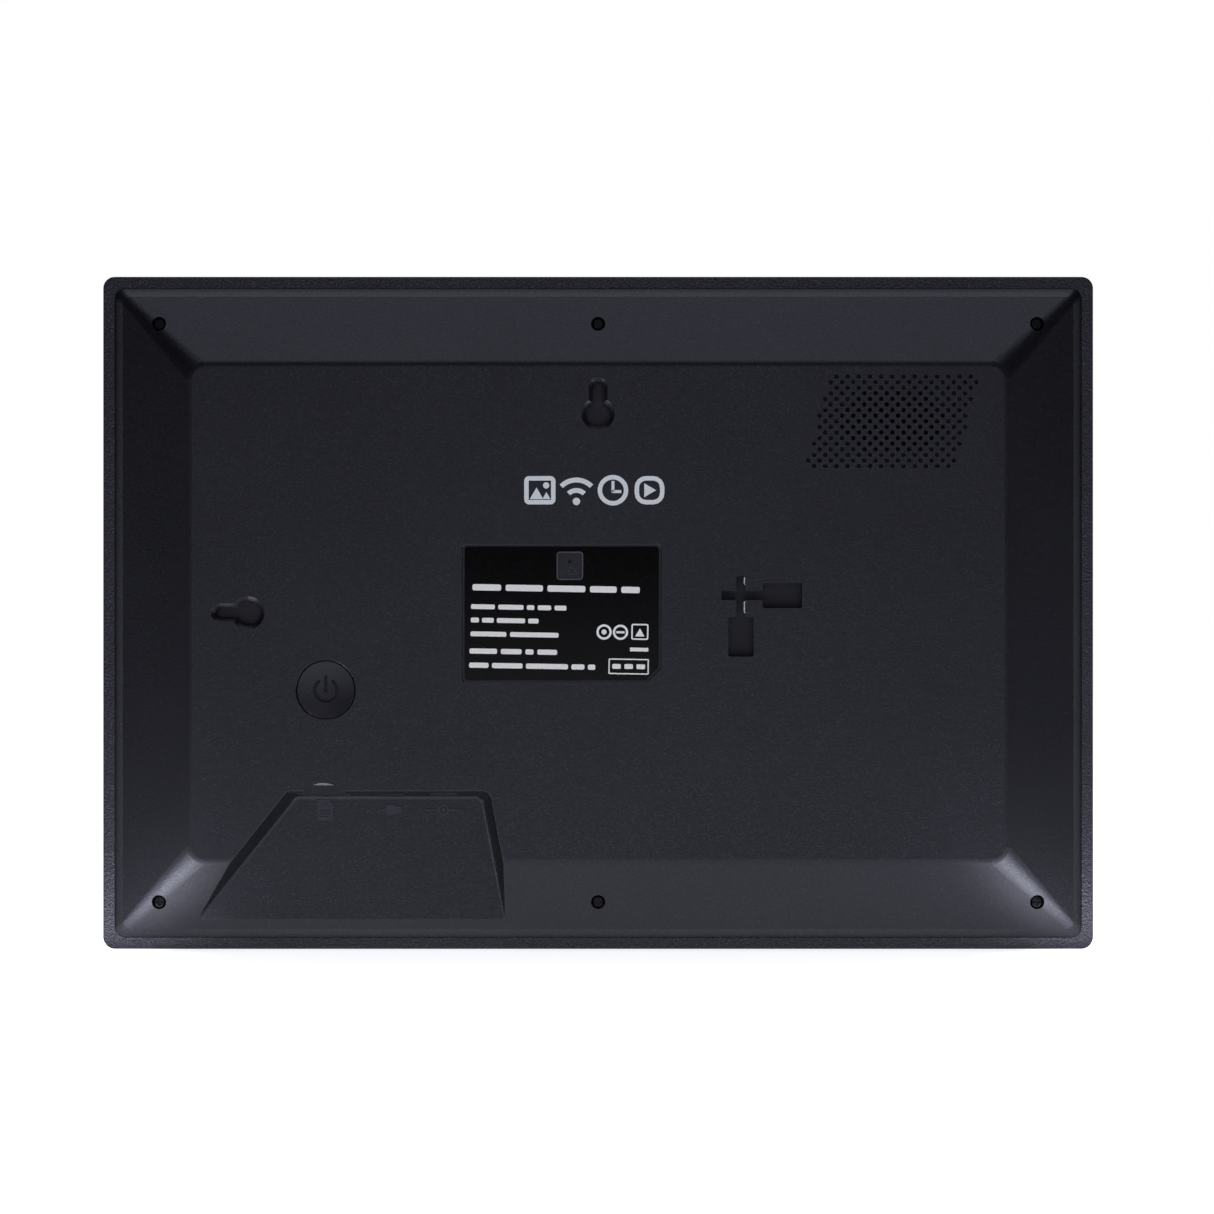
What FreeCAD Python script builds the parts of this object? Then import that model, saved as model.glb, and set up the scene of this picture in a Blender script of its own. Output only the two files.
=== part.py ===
import FreeCAD, Part
import math
import os

# Digital photo frame with a landscape touch screen, a moulded front frame and a sloped rear cover.
# The origin is the middle of the lowest edge's footprint, +Z is up, the screen faces -Y and the
# rear cover faces +Y.  Seen from behind, +X is to the left.  Lengths are in millimetres.

Vector = FreeCAD.Vector

# ---------------------------------------------------------------- overall sizes
frame_width = 268.0
frame_height = 182.0
frame_depth = 23.0
frame_corner = 3.1  # radius of the outer corners
front_frame_depth = 9.4

# ---------------------------------------------------------------- clearances
seam_gap = 0.12  # between the rim of the front frame and the rear cover
part_gap = 0.2  # between loose pieces of the screen stack
window_gap = 0.3  # round a connector in its window
button_gap = 0.2  # round the power button
mouth_bevel = 0.2  # that breaks the edge of the button's hole and of the label's field
running_gap = 0.05  # radial, round plungers and in the screws' pilot holes
screw_hole_gap = 0.15  # radial, where a screw only passes through

# ---------------------------------------------------------------- front frame
rim_width = 3.1
rim_round = 0.4
face_round = 1.2
lip_thickness = 2.5
bezel_width_side = 24.5
bezel_width_level = 22.0
bezel_chamfer = 1.8
bezel_corner = 2.5
opening_corner = 0.8
rib_thickness = 1.2
rib_height = 5.0
rib_corner = 1.5
rib_gap = 0.3  # between the ribs and the screen module
ledge_depth = 1.5  # how far the rear cover's edge sinks into the frame
ledge_reach = 1.8
ledge_length = 6.0
ledges_level = 6
ledges_side = 3

# ---------------------------------------------------------------- screen stack, front to back
module_overlap = 5.0  # how far the screen goes behind the bezel on each side
tape_thickness = 0.3
glass_thickness = 1.1
adhesive_thickness = 0.4
cell_thickness = 1.1
diffuser_thickness = 0.5
guide_thickness = 2.4
reflector_thickness = 0.2
tray_thickness = 0.5
module_corner = 1.0
film_corner = 0.5
led_bar_height = 2.0
led_bar_inset = 1.0
led_count = 24
led_length = 3.0
led_depth = 1.4
led_height = 0.8

# ---------------------------------------------------------------- rear cover
wall = 2.0
blind_wall = 0.8  # left outside a blind screw hole
band_width = 2.3  # plan width of the steep chamfer round the edge
band_rise = 2.4
band_corner = 3.0
hollow_corner = 1.6
hollow_crease_corner = 1.2
hollow_top_corner = 3.5
boss_root = 0.5  # how far a boss is sunk in the wall that it stands on
ear_boss_inset = 0.2
crease_corner = 2.2
slope_run = 18.6  # plan width of the sloping border
plateau_corner = 5.0
plateau_round = 3.5

# ---------------------------------------------------------------- cover screws
screw_inset_side = 15.7
screw_inset_level = 13.1
screw_head_radius = 1.75
screw_head_height = 1.5
head_rounding = 0.4  # of every screw head's rim, as a share of its height
recess_reach = 0.68  # of the cross recess's arms, as a share of the head's radius
recess_slot = 0.17  # half width of an arm, as a share of the head's radius
recess_floor = 0.35  # height of its floor, as a share of the head's height
screw_shank_radius = 1.0
screw_shank_length = 8.0
screw_well_radius = 1.95
screw_boss_radius = 3.5
post_radius = 3.0
post_top_drop = -0.6  # from the rim's back face to the top of the posts
screw_seat_thickness = 3.1
pilot_spare = 1.0

# ---------------------------------------------------------------- wall-hanging keyholes
keyhole_radius = 4.48  # at the outer face
keyhole_slot_half = 2.55  # at the outer face
keyhole_chamfer = 1.1
keyhole_travel = 7.3
keyhole_lip = 2.0
keyhole_room_radius = 5.3
keyhole_depth = 6.0
keyhole_wall = 1.3
keyhole_top_inset = 37.6
keyhole_side_inset = 40.1

# ---------------------------------------------------------------- connector pocket
pocket_top_inset = 43.2  # from the frame's lowest edge up to the pocket's upper rim
pocket_near_inset = 50.7  # from the frame's side to the rim's near corner
pocket_length = 54.3
pocket_top_draft = 1.7
pocket_near_draft = 1.8
pocket_far_draft = 2.4
pocket_near_lean = 0.80  # plan slope of the near side wall
pocket_far_lean = 0.19  # plan slope of the far side wall
pocket_corner = 2.3
pocket_floor_drop = 1.2  # of the pocket's floor below the main board's face
pocket_wall = 1.6
pocket_crease_round = 1.1
pocket_mouth_round = 0.4

# ---------------------------------------------------------------- main board and its connectors
standoff_height = 4.1
standoff_radius = 2.5
board_thickness = 1.6
board_corner = 1.5
board_edge_drop = 2.3  # of the board's lower edge behind the pocket's upper rim
board_hole_radius = 1.3
board_hole_inset = 4.0
board_screw_head = 2.0
board_screw_height = 1.2
board_screw_spare = 0.5
card_inset = 60.3  # from the frame's side to the card socket
usb_inset = 78.0
jack_inset = 92.3
port_mouth_drop = 0.5
card_width = 14.0
card_length = 15.0
card_height = 1.9
card_slot_width = 11.6
card_slot_height = 1.1
card_slot_depth = 13.0
card_ledge_rise = 3.0  # of the finger scoop's floor above the board's face
scoop_radius = 7.8
scoop_rise = 2.2  # of the scoop's top above the pocket's upper rim
scoop_peep_width = 6.4  # gap in the scoop's floor that shows the card socket
scoop_peep_height = 0.7
usb_width = 7.6
usb_height = 2.7
usb_length = 5.4
usb_shell = 0.3
usb_chamfer = 0.8
tongue_width = 5.0
tongue_height = 0.6
tongue_rise = 1.3
tongue_sink = 0.5
jack_width = 7.0
jack_height = 5.4
jack_length = 10.0
jack_bore_radius = 1.8
jack_bore_depth = 8.5
jack_pin_radius = 0.65
jack_pin_length = 7.5

# ---------------------------------------------------------------- chips and coils on the main board
# each: distance from the board's middle, share of the board's height, half sizes, height
processor_chip = (0.0, 0.622, 7.5, 7.5, 1.3)
memory_chip = (-26.0, 0.504, 4.5, 6.2, 1.0)
memory_count = 2
memory_pitch = 15.0
coil_chip = (-18.5, 0.356, 2.5, 2.5, 2.6)
coil_count = 3
coil_pitch = 7.5
can_radius = 2.5
can_height = 4.2
can_count = 3
can_pitch = 7.0
can_start = -12.0
can_drop = 6.0
storage_shift = 15.0
storage_drop = 33.5  # below the board's upper edge
storage_size = (5.8, 7.0, 0.9)  # half sizes, height
wifi_inset = (20.0, 14.0)  # from the board's outer and upper edges
wifi_half_x = 7.0
wifi_half_z = 6.5
wifi_board = 0.8
shield_half = 5.5
shield_height = 1.4
plug_shift = 4.0
plug_rise = 5.3
plug_half = 1.2
plug_height = 2.7
speaker_plug_half = 3.0
speaker_plug_z = -2.0
speaker_plug_inset = 5.4

# ---------------------------------------------------------------- power button and reset switch
button_inset = 61.0
button_rise = 27.2  # of the button's centre above the pocket's upper rim
button_radius = 7.75
button_sink = 0.1
button_dish = 0.5  # depth of its hollowed face
button_edge_round = 0.3
button_flange_radius = 10.8
button_flange_thickness = 0.9
button_flange_gap = 0.1
button_travel = 0.5
button_stem_radius = 1.6
guide_post_radius = 0.8
guide_post_place = 9.2
guide_post_length = 2.6
notch_gap = 0.15
symbol_radius = 3.4
symbol_line = 0.85
symbol_gap_angle = 32.0
symbol_depth = 0.35  # below the middle of the dish
symbol_bar_top = 3.9
symbol_bar_bottom = -0.65
switch_size = 6.0
switch_height = 3.5
plunger_radius = 1.7
plunger_stand = 0.8
plunger_seat = 1.0
reset_size = 4.5
reset_height = 2.5
reset_plunger_radius = 1.0
reset_plunger_stand = 0.6
reset_plunger_seat = 0.8
reset_travel = 0.25
reset_hole_radius = 0.45
reset_tube_radius = 1.6
reset_tube_bore = 0.6
reset_tube_gap = 0.5  # between the reset plunger and the tube that leads a pin to it

# ---------------------------------------------------------------- label and printed badge
label_left = 36.3
label_right = -16.8
label_top = 18.3
label_bottom = -18.6
label_corner = 1.0
label_cut_corner = 3.8
label_recess = 0.45
label_thickness = 0.15
label_gap = 0.5
label_window_width = 6.5
label_window_height = 7.0
label_window_corner = 0.6
label_window_centre = (7.55, 12.65)
reset_place = (7.55, 13.9)

# ---------------------------------------------------------------- speaker
speaker_inset_side = 55.1
speaker_inset_top = 39.6
grille_half_pitch = 1.5
grille_half_columns = 13.3
grille_lean = 0.25
grille_half_rows = 8
grille_hole_radius = 0.6  # at the outer face
grille_hole_inner = 0.42
grille_dimple_inner = 0.15
grille_open_columns = 9.9
grille_open_rows = 5.9
dimple_depth = 0.7
speaker_half_length = 17.0
speaker_half_height = 11.0
speaker_rim = 2.0
gasket_width = 1.5
gasket_thickness = 0.8
speaker_flange = 1.0
basket_depth = 3.0
basket_wall = 0.8
cone_depth = 2.2
cone_thickness = 0.4
magnet_radius = 8.0
magnet_thickness = 2.5
ear_place = 20.5
ear_radius = 2.6
ear_screw_head = 1.6
ear_screw_shank = 0.75
ear_screw_length = 2.6
small_head_height = 1.0

# ---------------------------------------------------------------- socket for the stand leg
socket_cross = (-38.3, 4.7)
socket_slot_half = 1.22
socket_arm_short = 5.2  # of the narrow arms, from the middle of the cross
socket_key_half = 3.38
socket_key_length = 10.6
socket_key_start = 5.8
socket_depth = 6.5
socket_floor = 1.5
socket_margin = 3.4
socket_corner = 0.4
socket_ear = 2.6
socket_ear_thickness = 1.5
socket_ear_drop = 3.0
spring_thickness = 0.3
spring_room = 1.2
spring_reach = 0.1  # of the leaves' crests into the slot
spring_bend = 0.3
spring_lead_in = 0.35
spring_clearance = 0.25
# heights along each leaf from the middle of the cross: foot, foot end, crest start, crest end, tip
spring_leaves = [(1.6, 2.2, 3.1, 4.6, 5.0), (-5.75, -5.25, -4.5, -1.9, -1.5)]
socket_gap = 0.1  # between the cover's opening and the cup behind it

# ---------------------------------------------------------------- brackets, flexes and leads
bracket_length = 12.0
bracket_width = 9.0
bracket_thickness = 0.8
bracket_place = 40.0
bracket_corner = 1.2
bracket_post_radius = 2.4
bracket_post_gap = 2.6
bracket_screw_head = 1.8
bracket_screw_shank = 0.9
bracket_screw_length = 5.0
flex_thickness = 0.2
flex_loop = 1.8
flex_bend = 0.8
display_flex_width = 30.0
touch_flex_width = 10.0
connector_height = 1.5
connector_length = 4.0
connector_inset = 5.0  # from the board's lower edge
lead_diameter = 1.2
antenna_length = 40.0
antenna_height = 8.0
antenna_thickness = 0.2


# Raised pictograms on the pocket's floor, one under each connector, and one under the reset pinhole
mark_rise = 0.35
mark_line = 0.5
mark_drop = 5.4  # of their middle below the pocket's upper rim
card_mark_width = 4.2
card_mark_height = 5.6
card_mark_cut = 1.1
card_mark_arrow = 1.0
plug_mark_half = 3.1
plug_mark_height = 2.9
barrel_mark_half = 4.7
barrel_mark_radius = 1.5
restart_mark_place = (7.1, 11.3)
restart_mark_radius = 1.15
restart_mark_line = 0.4
restart_mark_rise = 0.15
restart_mark_arrow = 0.6

# ---------------------------------------------------------------- derived places
half_width = frame_width / 2
half_height = frame_height / 2
front_face = -frame_depth / 2
back_face = frame_depth / 2
lip_back = front_face + lip_thickness
glass_front = lip_back + tape_thickness
glass_back = glass_front + glass_thickness
cell_front = glass_back + adhesive_thickness
cell_back = cell_front + cell_thickness
diffuser_back = cell_back + diffuser_thickness
guide_back = diffuser_back + guide_thickness
reflector_back = guide_back + reflector_thickness
tray_back = reflector_back + tray_thickness
board_front = tray_back + standoff_height
board_face = board_front + board_thickness
rim_back = front_face + front_frame_depth
band_top = rim_back + band_rise
inner_back = back_face - wall

opening_half_x = half_width - bezel_width_side
opening_half_z = half_height - bezel_width_level
module_half_x = opening_half_x + module_overlap
module_half_z = opening_half_z + module_overlap
stack_half_x = module_half_x - tray_thickness - part_gap
stack_half_z = module_half_z - tray_thickness - part_gap
inside_half_x = half_width - rim_width
inside_half_z = half_height - rim_width
cover_half_x = inside_half_x - seam_gap
cover_half_z = inside_half_z - seam_gap
crease_half_x = cover_half_x - band_width
crease_half_z = cover_half_z - band_width
plateau_half_x = crease_half_x - slope_run
plateau_half_z = crease_half_z - slope_run
slope_rise = back_face - band_top
slope_lean = slope_run / slope_rise  # plan distance for each millimetre of depth
band_lean = band_width / band_rise

screw_places = [
    (sx * (half_width - screw_inset_side) * side, sz * (half_height - screw_inset_level))
    for side in (1, 0)
    for sz in (-1, 1)
    for sx in ((-1, 1) if side else (1,))
]
post_top = rim_back - post_top_drop
screw_seat = post_top + screw_seat_thickness

pocket_top = pocket_top_inset - half_height
pocket_near = half_width - pocket_near_inset
pocket_far = pocket_near - pocket_length
pocket_floor = board_face - pocket_floor_drop
card_x = half_width - card_inset
usb_x = half_width - usb_inset
jack_x = half_width - jack_inset
port_mouth = pocket_top - port_mouth_drop
card_ledge = board_face + card_ledge_rise
button_place = (half_width - button_inset, pocket_top + button_rise)
button_seat = board_face + switch_height + plunger_stand
reset_tube_end = board_face + reset_height + reset_plunger_stand + reset_tube_gap

board_left = card_x + card_width / 2 + 9.3  # outer edge, towards +X
board_right = reset_place[0] - 9.5
board_bottom = pocket_top + board_edge_drop
board_top = reset_place[1] + 8.1
board_middle = (board_left + board_right) / 2

top_keyhole = (0.0, half_height - keyhole_top_inset)
side_keyhole = (half_width - keyhole_side_inset, 0.0)
speaker_place = (speaker_inset_side - half_width, half_height - speaker_inset_top)
speaker_flange_back = inner_back - gasket_thickness
speaker_flange_front = speaker_flange_back - speaker_flange
basket_front = speaker_flange_front - basket_depth

socket_back = inner_back
socket_front = back_face - socket_depth - socket_floor
socket_bottom = back_face - socket_depth
socket_ear_back = socket_back - socket_ear_drop
ear_screw = (ear_screw_head, small_head_height, ear_screw_shank, ear_screw_length, -1)
can_back = board_face + can_height
bracket_posts = [
    (sx * (module_half_x + bracket_post_gap + bracket_post_radius), sz * bracket_place)
    for sx in (-1, 1)
    for sz in (-1, 1)
]
bracket_pilot_end = tray_back - bracket_screw_length - pilot_spare / 2
display_flex_x = board_middle - 9.0
touch_flex_x = board_middle + 23.0


# ---------------------------------------------------------------- helpers
def spot(x, y, z):
    """A point given with its height from the middle of the frame."""
    return Vector(x, y, z + half_height)


def outline(points, radius, y):
    """Closed wire through (x, z) points at depth y, with each corner rounded by a tangent arc."""
    count = len(points)
    corners = []
    for i, (x, z) in enumerate(points):
        before = spot(points[i - 1][0], y, points[i - 1][1])
        corner = spot(x, y, z)
        after = spot(points[(i + 1) % count][0], y, points[(i + 1) % count][1])
        corners.append(tangent_arc(before, corner, after, radius))
    edges = []
    for i, (start, middle, end) in enumerate(corners):
        edges.append(Part.Arc(start, middle, end).toShape())
        edges.append(Part.LineSegment(end, corners[(i + 1) % count][0]).toShape())
    return Part.Wire(edges)


def tangent_arc(before, corner, after, radius):
    """Start, middle and end of the arc that rounds a corner."""
    to_before = (before - corner).normalize()
    to_after = (after - corner).normalize()
    half_angle = to_before.getAngle(to_after) / 2
    reach = radius / math.tan(half_angle)
    sag = radius / math.sin(half_angle) - radius
    bisector = (to_before + to_after).normalize()
    return corner + to_before * reach, corner + bisector * sag, corner + to_after * reach


def rectangle(half_x, half_z, radius, y, centre=(0.0, 0.0)):
    x, z = centre
    points = [
        (x + half_x, z + half_z),
        (x - half_x, z + half_z),
        (x - half_x, z - half_z),
        (x + half_x, z - half_z),
    ]
    return outline(points, radius, y)


def slab(wire, thickness):
    """Solid that runs from a wire towards +Y."""
    return Part.Face(wire).extrude(Vector(0, thickness, 0))


def plate(half_x, half_z, radius, front, back, centre=(0.0, 0.0)):
    return slab(rectangle(half_x, half_z, radius, front, centre), back - front)


def block(x0, x1, y0, y1, z0, z1):
    """Box between two corners, with heights from the middle of the frame."""
    low = spot(min(x0, x1), min(y0, y1), min(z0, z1))
    return Part.makeBox(abs(x1 - x0), abs(y1 - y0), abs(z1 - z0), low)


def rod(place, radius, y0, y1):
    """Cylinder along Y."""
    return Part.makeCylinder(radius, y1 - y0, spot(place[0], y0, place[1]), Vector(0, 1, 0))


def stadium(start, end, radius, y0, y1):
    """Two rods and the straight block that joins them, along X or Z."""
    if abs(end[0] - start[0]) > abs(end[1] - start[1]):
        bar = block(start[0], end[0], y0, y1, start[1] - radius, start[1] + radius)
    else:
        bar = block(start[0] - radius, start[0] + radius, y0, y1, start[1], end[1])
    return rod(start, radius, y0, y1).fuse([rod(end, radius, y0, y1), bar]).removeSplitter()


def frustum(low, high):
    """Solid between two like outlines, with flat faces between their straight edges."""
    faces = [Part.Face(low), Part.Face(high)]
    for near, far in zip(low.OrderedEdges, high.OrderedEdges):
        if isinstance(near.Curve, Part.Line):
            a, b = near.Vertexes[0].Point, near.Vertexes[-1].Point
            c, d = far.Vertexes[-1].Point, far.Vertexes[0].Point
            faces.append(Part.Face(Part.makePolygon([a, b, c, d, a])))
        else:
            faces.append(Part.makeRuledSurface(near, far))
    shell = Part.makeShell(faces)
    shell.sewShape()
    solid = Part.Solid(shell)
    if solid.Volume < 0:
        solid.reverse()
    return solid


def bent_strip(points, bend, thickness, place, sweep):
    """Strip of even thickness along a path of (a, b) points, with rounded bends.

    place turns (a, b) into a point in space, and sweep is the strip's width as a vector.
    """
    path = [Vector(a, b, 0) for a, b in points]
    sides = []
    for side in (thickness / 2, -thickness / 2):
        edges = []
        last = None
        for i, point in enumerate(path):
            ahead = path[min(i + 1, len(path) - 1)] - path[min(i, len(path) - 2)]
            normal = Vector(-ahead.y, ahead.x, 0).normalize() * side
            if i in (0, len(path) - 1):
                start = middle = end = point + normal
            else:
                start, middle, end = tangent_arc(path[i - 1], point, path[i + 1], bend)
                to_centre = (middle - point).normalize()
                centre = middle + to_centre * bend
                back = point - path[i - 1]
                turn = back.x * ahead.y - back.y * ahead.x
                scale = (bend - math.copysign(1, turn) * side) / bend
                start, middle, end = (centre + (p - centre) * scale for p in (start, middle, end))
            if last is not None:
                edges.append((last, start))
            if start != end:
                edges.append((start, middle, end))
            last = end
        sides.append(edges)
    left, right = sides
    ring = left + [(left[-1][-1], right[-1][-1])]
    ring += [tuple(reversed(edge)) for edge in reversed(right)]
    ring.append((right[0][0], left[0][0]))
    wire = []
    for edge in ring:
        ends = [place(p.x, p.y) for p in edge]
        if len(ends) == 3:
            wire.append(Part.Arc(*ends).toShape())
        else:
            wire.append(Part.LineSegment(*ends).toShape())
    return Part.Face(Part.Wire(wire)).extrude(sweep)


def lead(points, diameter):
    """Round wire along straight runs, with each turn as wide as its two runs allow."""
    share = 0.45
    path = [spot(*p) for p in points]
    edges = []
    last = path[0]
    for before, corner, after in zip(path, path[1:], path[2:]):
        run = min((corner - before).Length, (after - corner).Length)
        half_turn = (corner - before).getAngle(after - corner) / 2
        start, middle, end = tangent_arc(before, corner, after, share * run / math.tan(half_turn))
        edges.append(Part.LineSegment(last, start).toShape())
        edges.append(Part.Arc(start, middle, end).toShape())
        last = end
    edges.append(Part.LineSegment(last, path[-1]).toShape())
    section = Part.Wire(Part.makeCircle(diameter / 2, path[0], path[1] - path[0]))
    return Part.Wire(edges).makePipeShell([section], True, False)


def pan_screw(place, seat, head_radius, head_height, shank_radius, shank_length, towards=1):
    """Cross-recessed screw whose head stands towards +Y (1) or -Y (-1) of its seat."""
    head = rod(place, head_radius, seat, seat + head_height)
    rim = [e for e in head.Edges if e.BoundBox.YMin > seat + head_height / 2]
    head = head.makeFillet(head_height * head_rounding, [e for e in rim if e.Closed])
    shank = rod(place, shank_radius, seat - shank_length, seat)
    arm = head_radius * recess_reach
    half_slot = head_radius * recess_slot
    x, z = place
    top = seat + head_height
    floor = seat + head_height * recess_floor
    cross = block(x - arm, x + arm, floor, top, z - half_slot, z + half_slot)
    cross = cross.fuse(block(x - half_slot, x + half_slot, floor, top, z - arm, z + arm))
    screw = head.fuse(shank).cut(cross).removeSplitter()
    if towards < 0:
        screw = screw.mirror(spot(x, seat, z), Vector(0, 1, 0))
    return screw


def around_edges(shape, inside):
    """Edges of a shape whose middle point passes a test."""
    return [e for e in shape.Edges if inside(e.valueAt((e.FirstParameter + e.LastParameter) / 2))]


# ---------------------------------------------------------------- casings
def front_frame():
    """Moulded bezel with its side walls, screw posts, screen ribs and ledges for the rear cover."""
    shell = plate(half_width, half_height, frame_corner, front_face, rim_back)
    face_edges = around_edges(shell, lambda p: abs(p.y - front_face) < 0.01)
    shell = shell.makeFillet(face_round, face_edges)
    rim_edges = around_edges(shell, lambda p: abs(p.y - rim_back) < 0.01)
    shell = shell.makeFillet(rim_round, rim_edges)
    corner = band_corner + seam_gap
    shell = shell.cut(plate(inside_half_x, inside_half_z, corner, lip_back, back_face))
    chamfer_end = front_face + bezel_chamfer
    mouth = frustum(
        rectangle(opening_half_x + bezel_chamfer, opening_half_z + bezel_chamfer, bezel_corner, front_face),
        rectangle(opening_half_x, opening_half_z, opening_corner, chamfer_end),
    )
    throat = plate(opening_half_x, opening_half_z, opening_corner, chamfer_end, lip_back)
    shell = shell.cut([mouth, throat])
    extras = [screen_ribs()] + cover_ledges()
    extras += [rod(place, post_radius, lip_back, post_top) for place in screw_places]
    extras += [rod(place, bracket_post_radius, lip_back, tray_back) for place in bracket_posts]
    shell = shell.fuse(extras)
    pilots = [
        rod(place, screw_shank_radius + running_gap, screw_seat - screw_shank_length - pilot_spare, back_face)
        for place in screw_places
    ]
    pilots += [
        rod(place, bracket_screw_shank + running_gap, bracket_pilot_end, back_face)
        for place in bracket_posts
    ]
    return shell.cut(pilots).removeSplitter()


def screen_ribs():
    """Low fence that centres the screen, open where the two flexes leave it."""
    inner_x = module_half_x + rib_gap
    inner_z = module_half_z + rib_gap
    top = lip_back + rib_height
    fence = plate(inner_x + rib_thickness, inner_z + rib_thickness, rib_corner, lip_back, top)
    fence = fence.cut(plate(inner_x, inner_z, module_corner, lip_back, top))
    gates = [
        block(x - half - 1.5, x + half + 1.5, lip_back, top, -half_height, -module_half_z + 1)
        for x, half in ((display_flex_x, display_flex_width / 2), (touch_flex_x, touch_flex_width / 2))
    ]
    return fence.cut(gates)


def cover_ledges():
    """Short ribs inside the rim that the rear cover's edge stands on."""
    top = rim_back - ledge_depth
    blocks = []
    for i in range(ledges_level):
        x = inside_half_x * (2 * (i + 0.5) / ledges_level - 1)
        for side in (-1, 1):
            z = side * inside_half_z
            blocks.append(
                block(x - ledge_length / 2, x + ledge_length / 2, lip_back, top, z - side * ledge_reach, z)
            )
    for i in range(ledges_side):
        z = inside_half_z * (2 * (i + 0.5) / ledges_side - 1)
        for side in (-1, 1):
            x = side * inside_half_x
            blocks.append(
                block(x - side * ledge_reach, x, lip_back, top, z - ledge_length / 2, z + ledge_length / 2)
            )
    return blocks


def cover_skin():
    """Outer form of the rear cover: edge, steep band, slope and flat back."""
    edge = plate(cover_half_x, cover_half_z, band_corner, rim_back - ledge_depth, rim_back)
    band = frustum(
        rectangle(cover_half_x, cover_half_z, band_corner, rim_back),
        rectangle(crease_half_x, crease_half_z, crease_corner, band_top),
    )
    slope = frustum(
        rectangle(crease_half_x, crease_half_z, crease_corner, band_top),
        rectangle(plateau_half_x, plateau_half_z, plateau_corner, back_face),
    )
    rim = around_edges(slope, lambda p: abs(p.y - back_face) < 0.01)
    slope = slope.makeFillet(plateau_round, rim)
    return edge.fuse([band, slope]).removeSplitter()


def cover_hollow():
    """Room inside the rear cover, one wall thickness in from every outer face."""
    band_inset = wall * math.hypot(1, band_lean)
    slope_inset = wall * math.hypot(1, slope_lean)
    band_rest = crease_half_x - band_inset + band_lean * band_top
    slope_rest = crease_half_x - slope_inset + slope_lean * band_top
    crease_y = (band_rest - slope_rest) / (band_lean - slope_lean)
    crease_in = cover_half_x - band_inset - band_lean * (crease_y - rim_back) - crease_half_x
    top_in = crease_half_x - slope_inset - slope_lean * (inner_back - band_top) - crease_half_x
    start = rim_back - ledge_depth
    edge_in = cover_half_x - band_inset - crease_half_x
    base = plate(crease_half_x + edge_in, crease_half_z + edge_in, hollow_corner, start, rim_back)
    band = frustum(
        rectangle(crease_half_x + edge_in, crease_half_z + edge_in, hollow_corner, rim_back),
        rectangle(crease_half_x + crease_in, crease_half_z + crease_in, hollow_crease_corner, crease_y),
    )
    slope = frustum(
        rectangle(crease_half_x + crease_in, crease_half_z + crease_in, hollow_crease_corner, crease_y),
        rectangle(crease_half_x + top_in, crease_half_z + top_in, hollow_top_corner, inner_back),
    )
    return base.fuse([band, slope])


def pocket_form(grow, floor, top):
    """Connector pocket as a tapering block, grown by a wall thickness where grow is set."""
    foot = -half_height - 10.0

    def ring(y, draft_top, draft_near, draft_far):
        head = pocket_top - draft_top + grow
        near = pocket_near - draft_near + grow
        far = pocket_far + draft_far - grow
        drop = head - foot
        points = [
            (near, head),
            (far, head),
            (far - pocket_far_lean * drop, foot),
            (near + pocket_near_lean * drop, foot),
        ]
        return outline(points, pocket_corner, y)

    low = ring(floor, pocket_top_draft, pocket_near_draft, pocket_far_draft)
    return frustum(low, ring(top, 0.0, 0.0, 0.0))


def keyhole_cut(place, direction):
    """Chamfered keyhole and the wider room behind it that the wall screw's head slides in."""
    dx, dz = direction
    end = (place[0] + dx * keyhole_travel, place[1] + dz * keyhole_travel)
    lip_front = back_face - keyhole_lip
    step = back_face - keyhole_chamfer
    x, z = place
    flare = Part.makeCone(
        keyhole_radius - keyhole_chamfer, keyhole_radius, keyhole_chamfer, spot(x, step, z), Vector(0, 1, 0)
    )
    narrow = keyhole_slot_half - keyhole_chamfer
    a, b = spot(x, step, z), spot(end[0], step, end[1])
    slot_flare = Part.makeCone(narrow, keyhole_slot_half, keyhole_chamfer, b, Vector(0, 1, 0))
    across = Vector(abs(dz), 0, abs(dx))
    lift = Vector(0, keyhole_chamfer, 0)
    section = Part.makePolygon(
        [
            a - across * narrow,
            a + across * narrow,
            a + across * keyhole_slot_half + lift,
            a - across * keyhole_slot_half + lift,
            a - across * narrow,
        ]
    )
    channel = Part.Face(section).extrude(b - a)
    hole = rod(place, keyhole_radius - keyhole_chamfer, lip_front - boss_root, step)
    slot = stadium(place, end, narrow, lip_front - boss_root, step)
    room = stadium(place, end, keyhole_room_radius, back_face - keyhole_depth, lip_front)
    return [flare, slot_flare, channel, hole, slot, room]


def keyhole_boss(place, direction):
    dx, dz = direction
    end = (place[0] + dx * keyhole_travel, place[1] + dz * keyhole_travel)
    front = back_face - keyhole_depth - keyhole_wall
    return stadium(place, end, keyhole_room_radius + keyhole_wall, front, inner_back + boss_root)


def grille_places():
    """Open holes and blind dimples of the speaker grille, in a leaning diamond pattern."""
    through, blind = [], []
    columns = int(grille_half_columns + grille_lean * grille_half_rows) + 1
    for j in range(-grille_half_rows, grille_half_rows + 1):
        for i in range(-columns, columns + 1):
            if (i + j) % 2 or abs(i - grille_lean * j) > grille_half_columns:
                continue
            place = (speaker_place[0] - i * grille_half_pitch, speaker_place[1] + j * grille_half_pitch)
            inside = (i / grille_open_columns) ** 2 + (j / grille_open_rows) ** 2 < 1
            (through if inside else blind).append(place)
    return through, blind


def grille_hole(place, inner_radius, depth):
    """Hole or dimple that narrows inwards."""
    start = spot(place[0], back_face - depth, place[1])
    return Part.makeCone(inner_radius, grille_hole_radius, depth, start, Vector(0, 1, 0))


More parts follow.
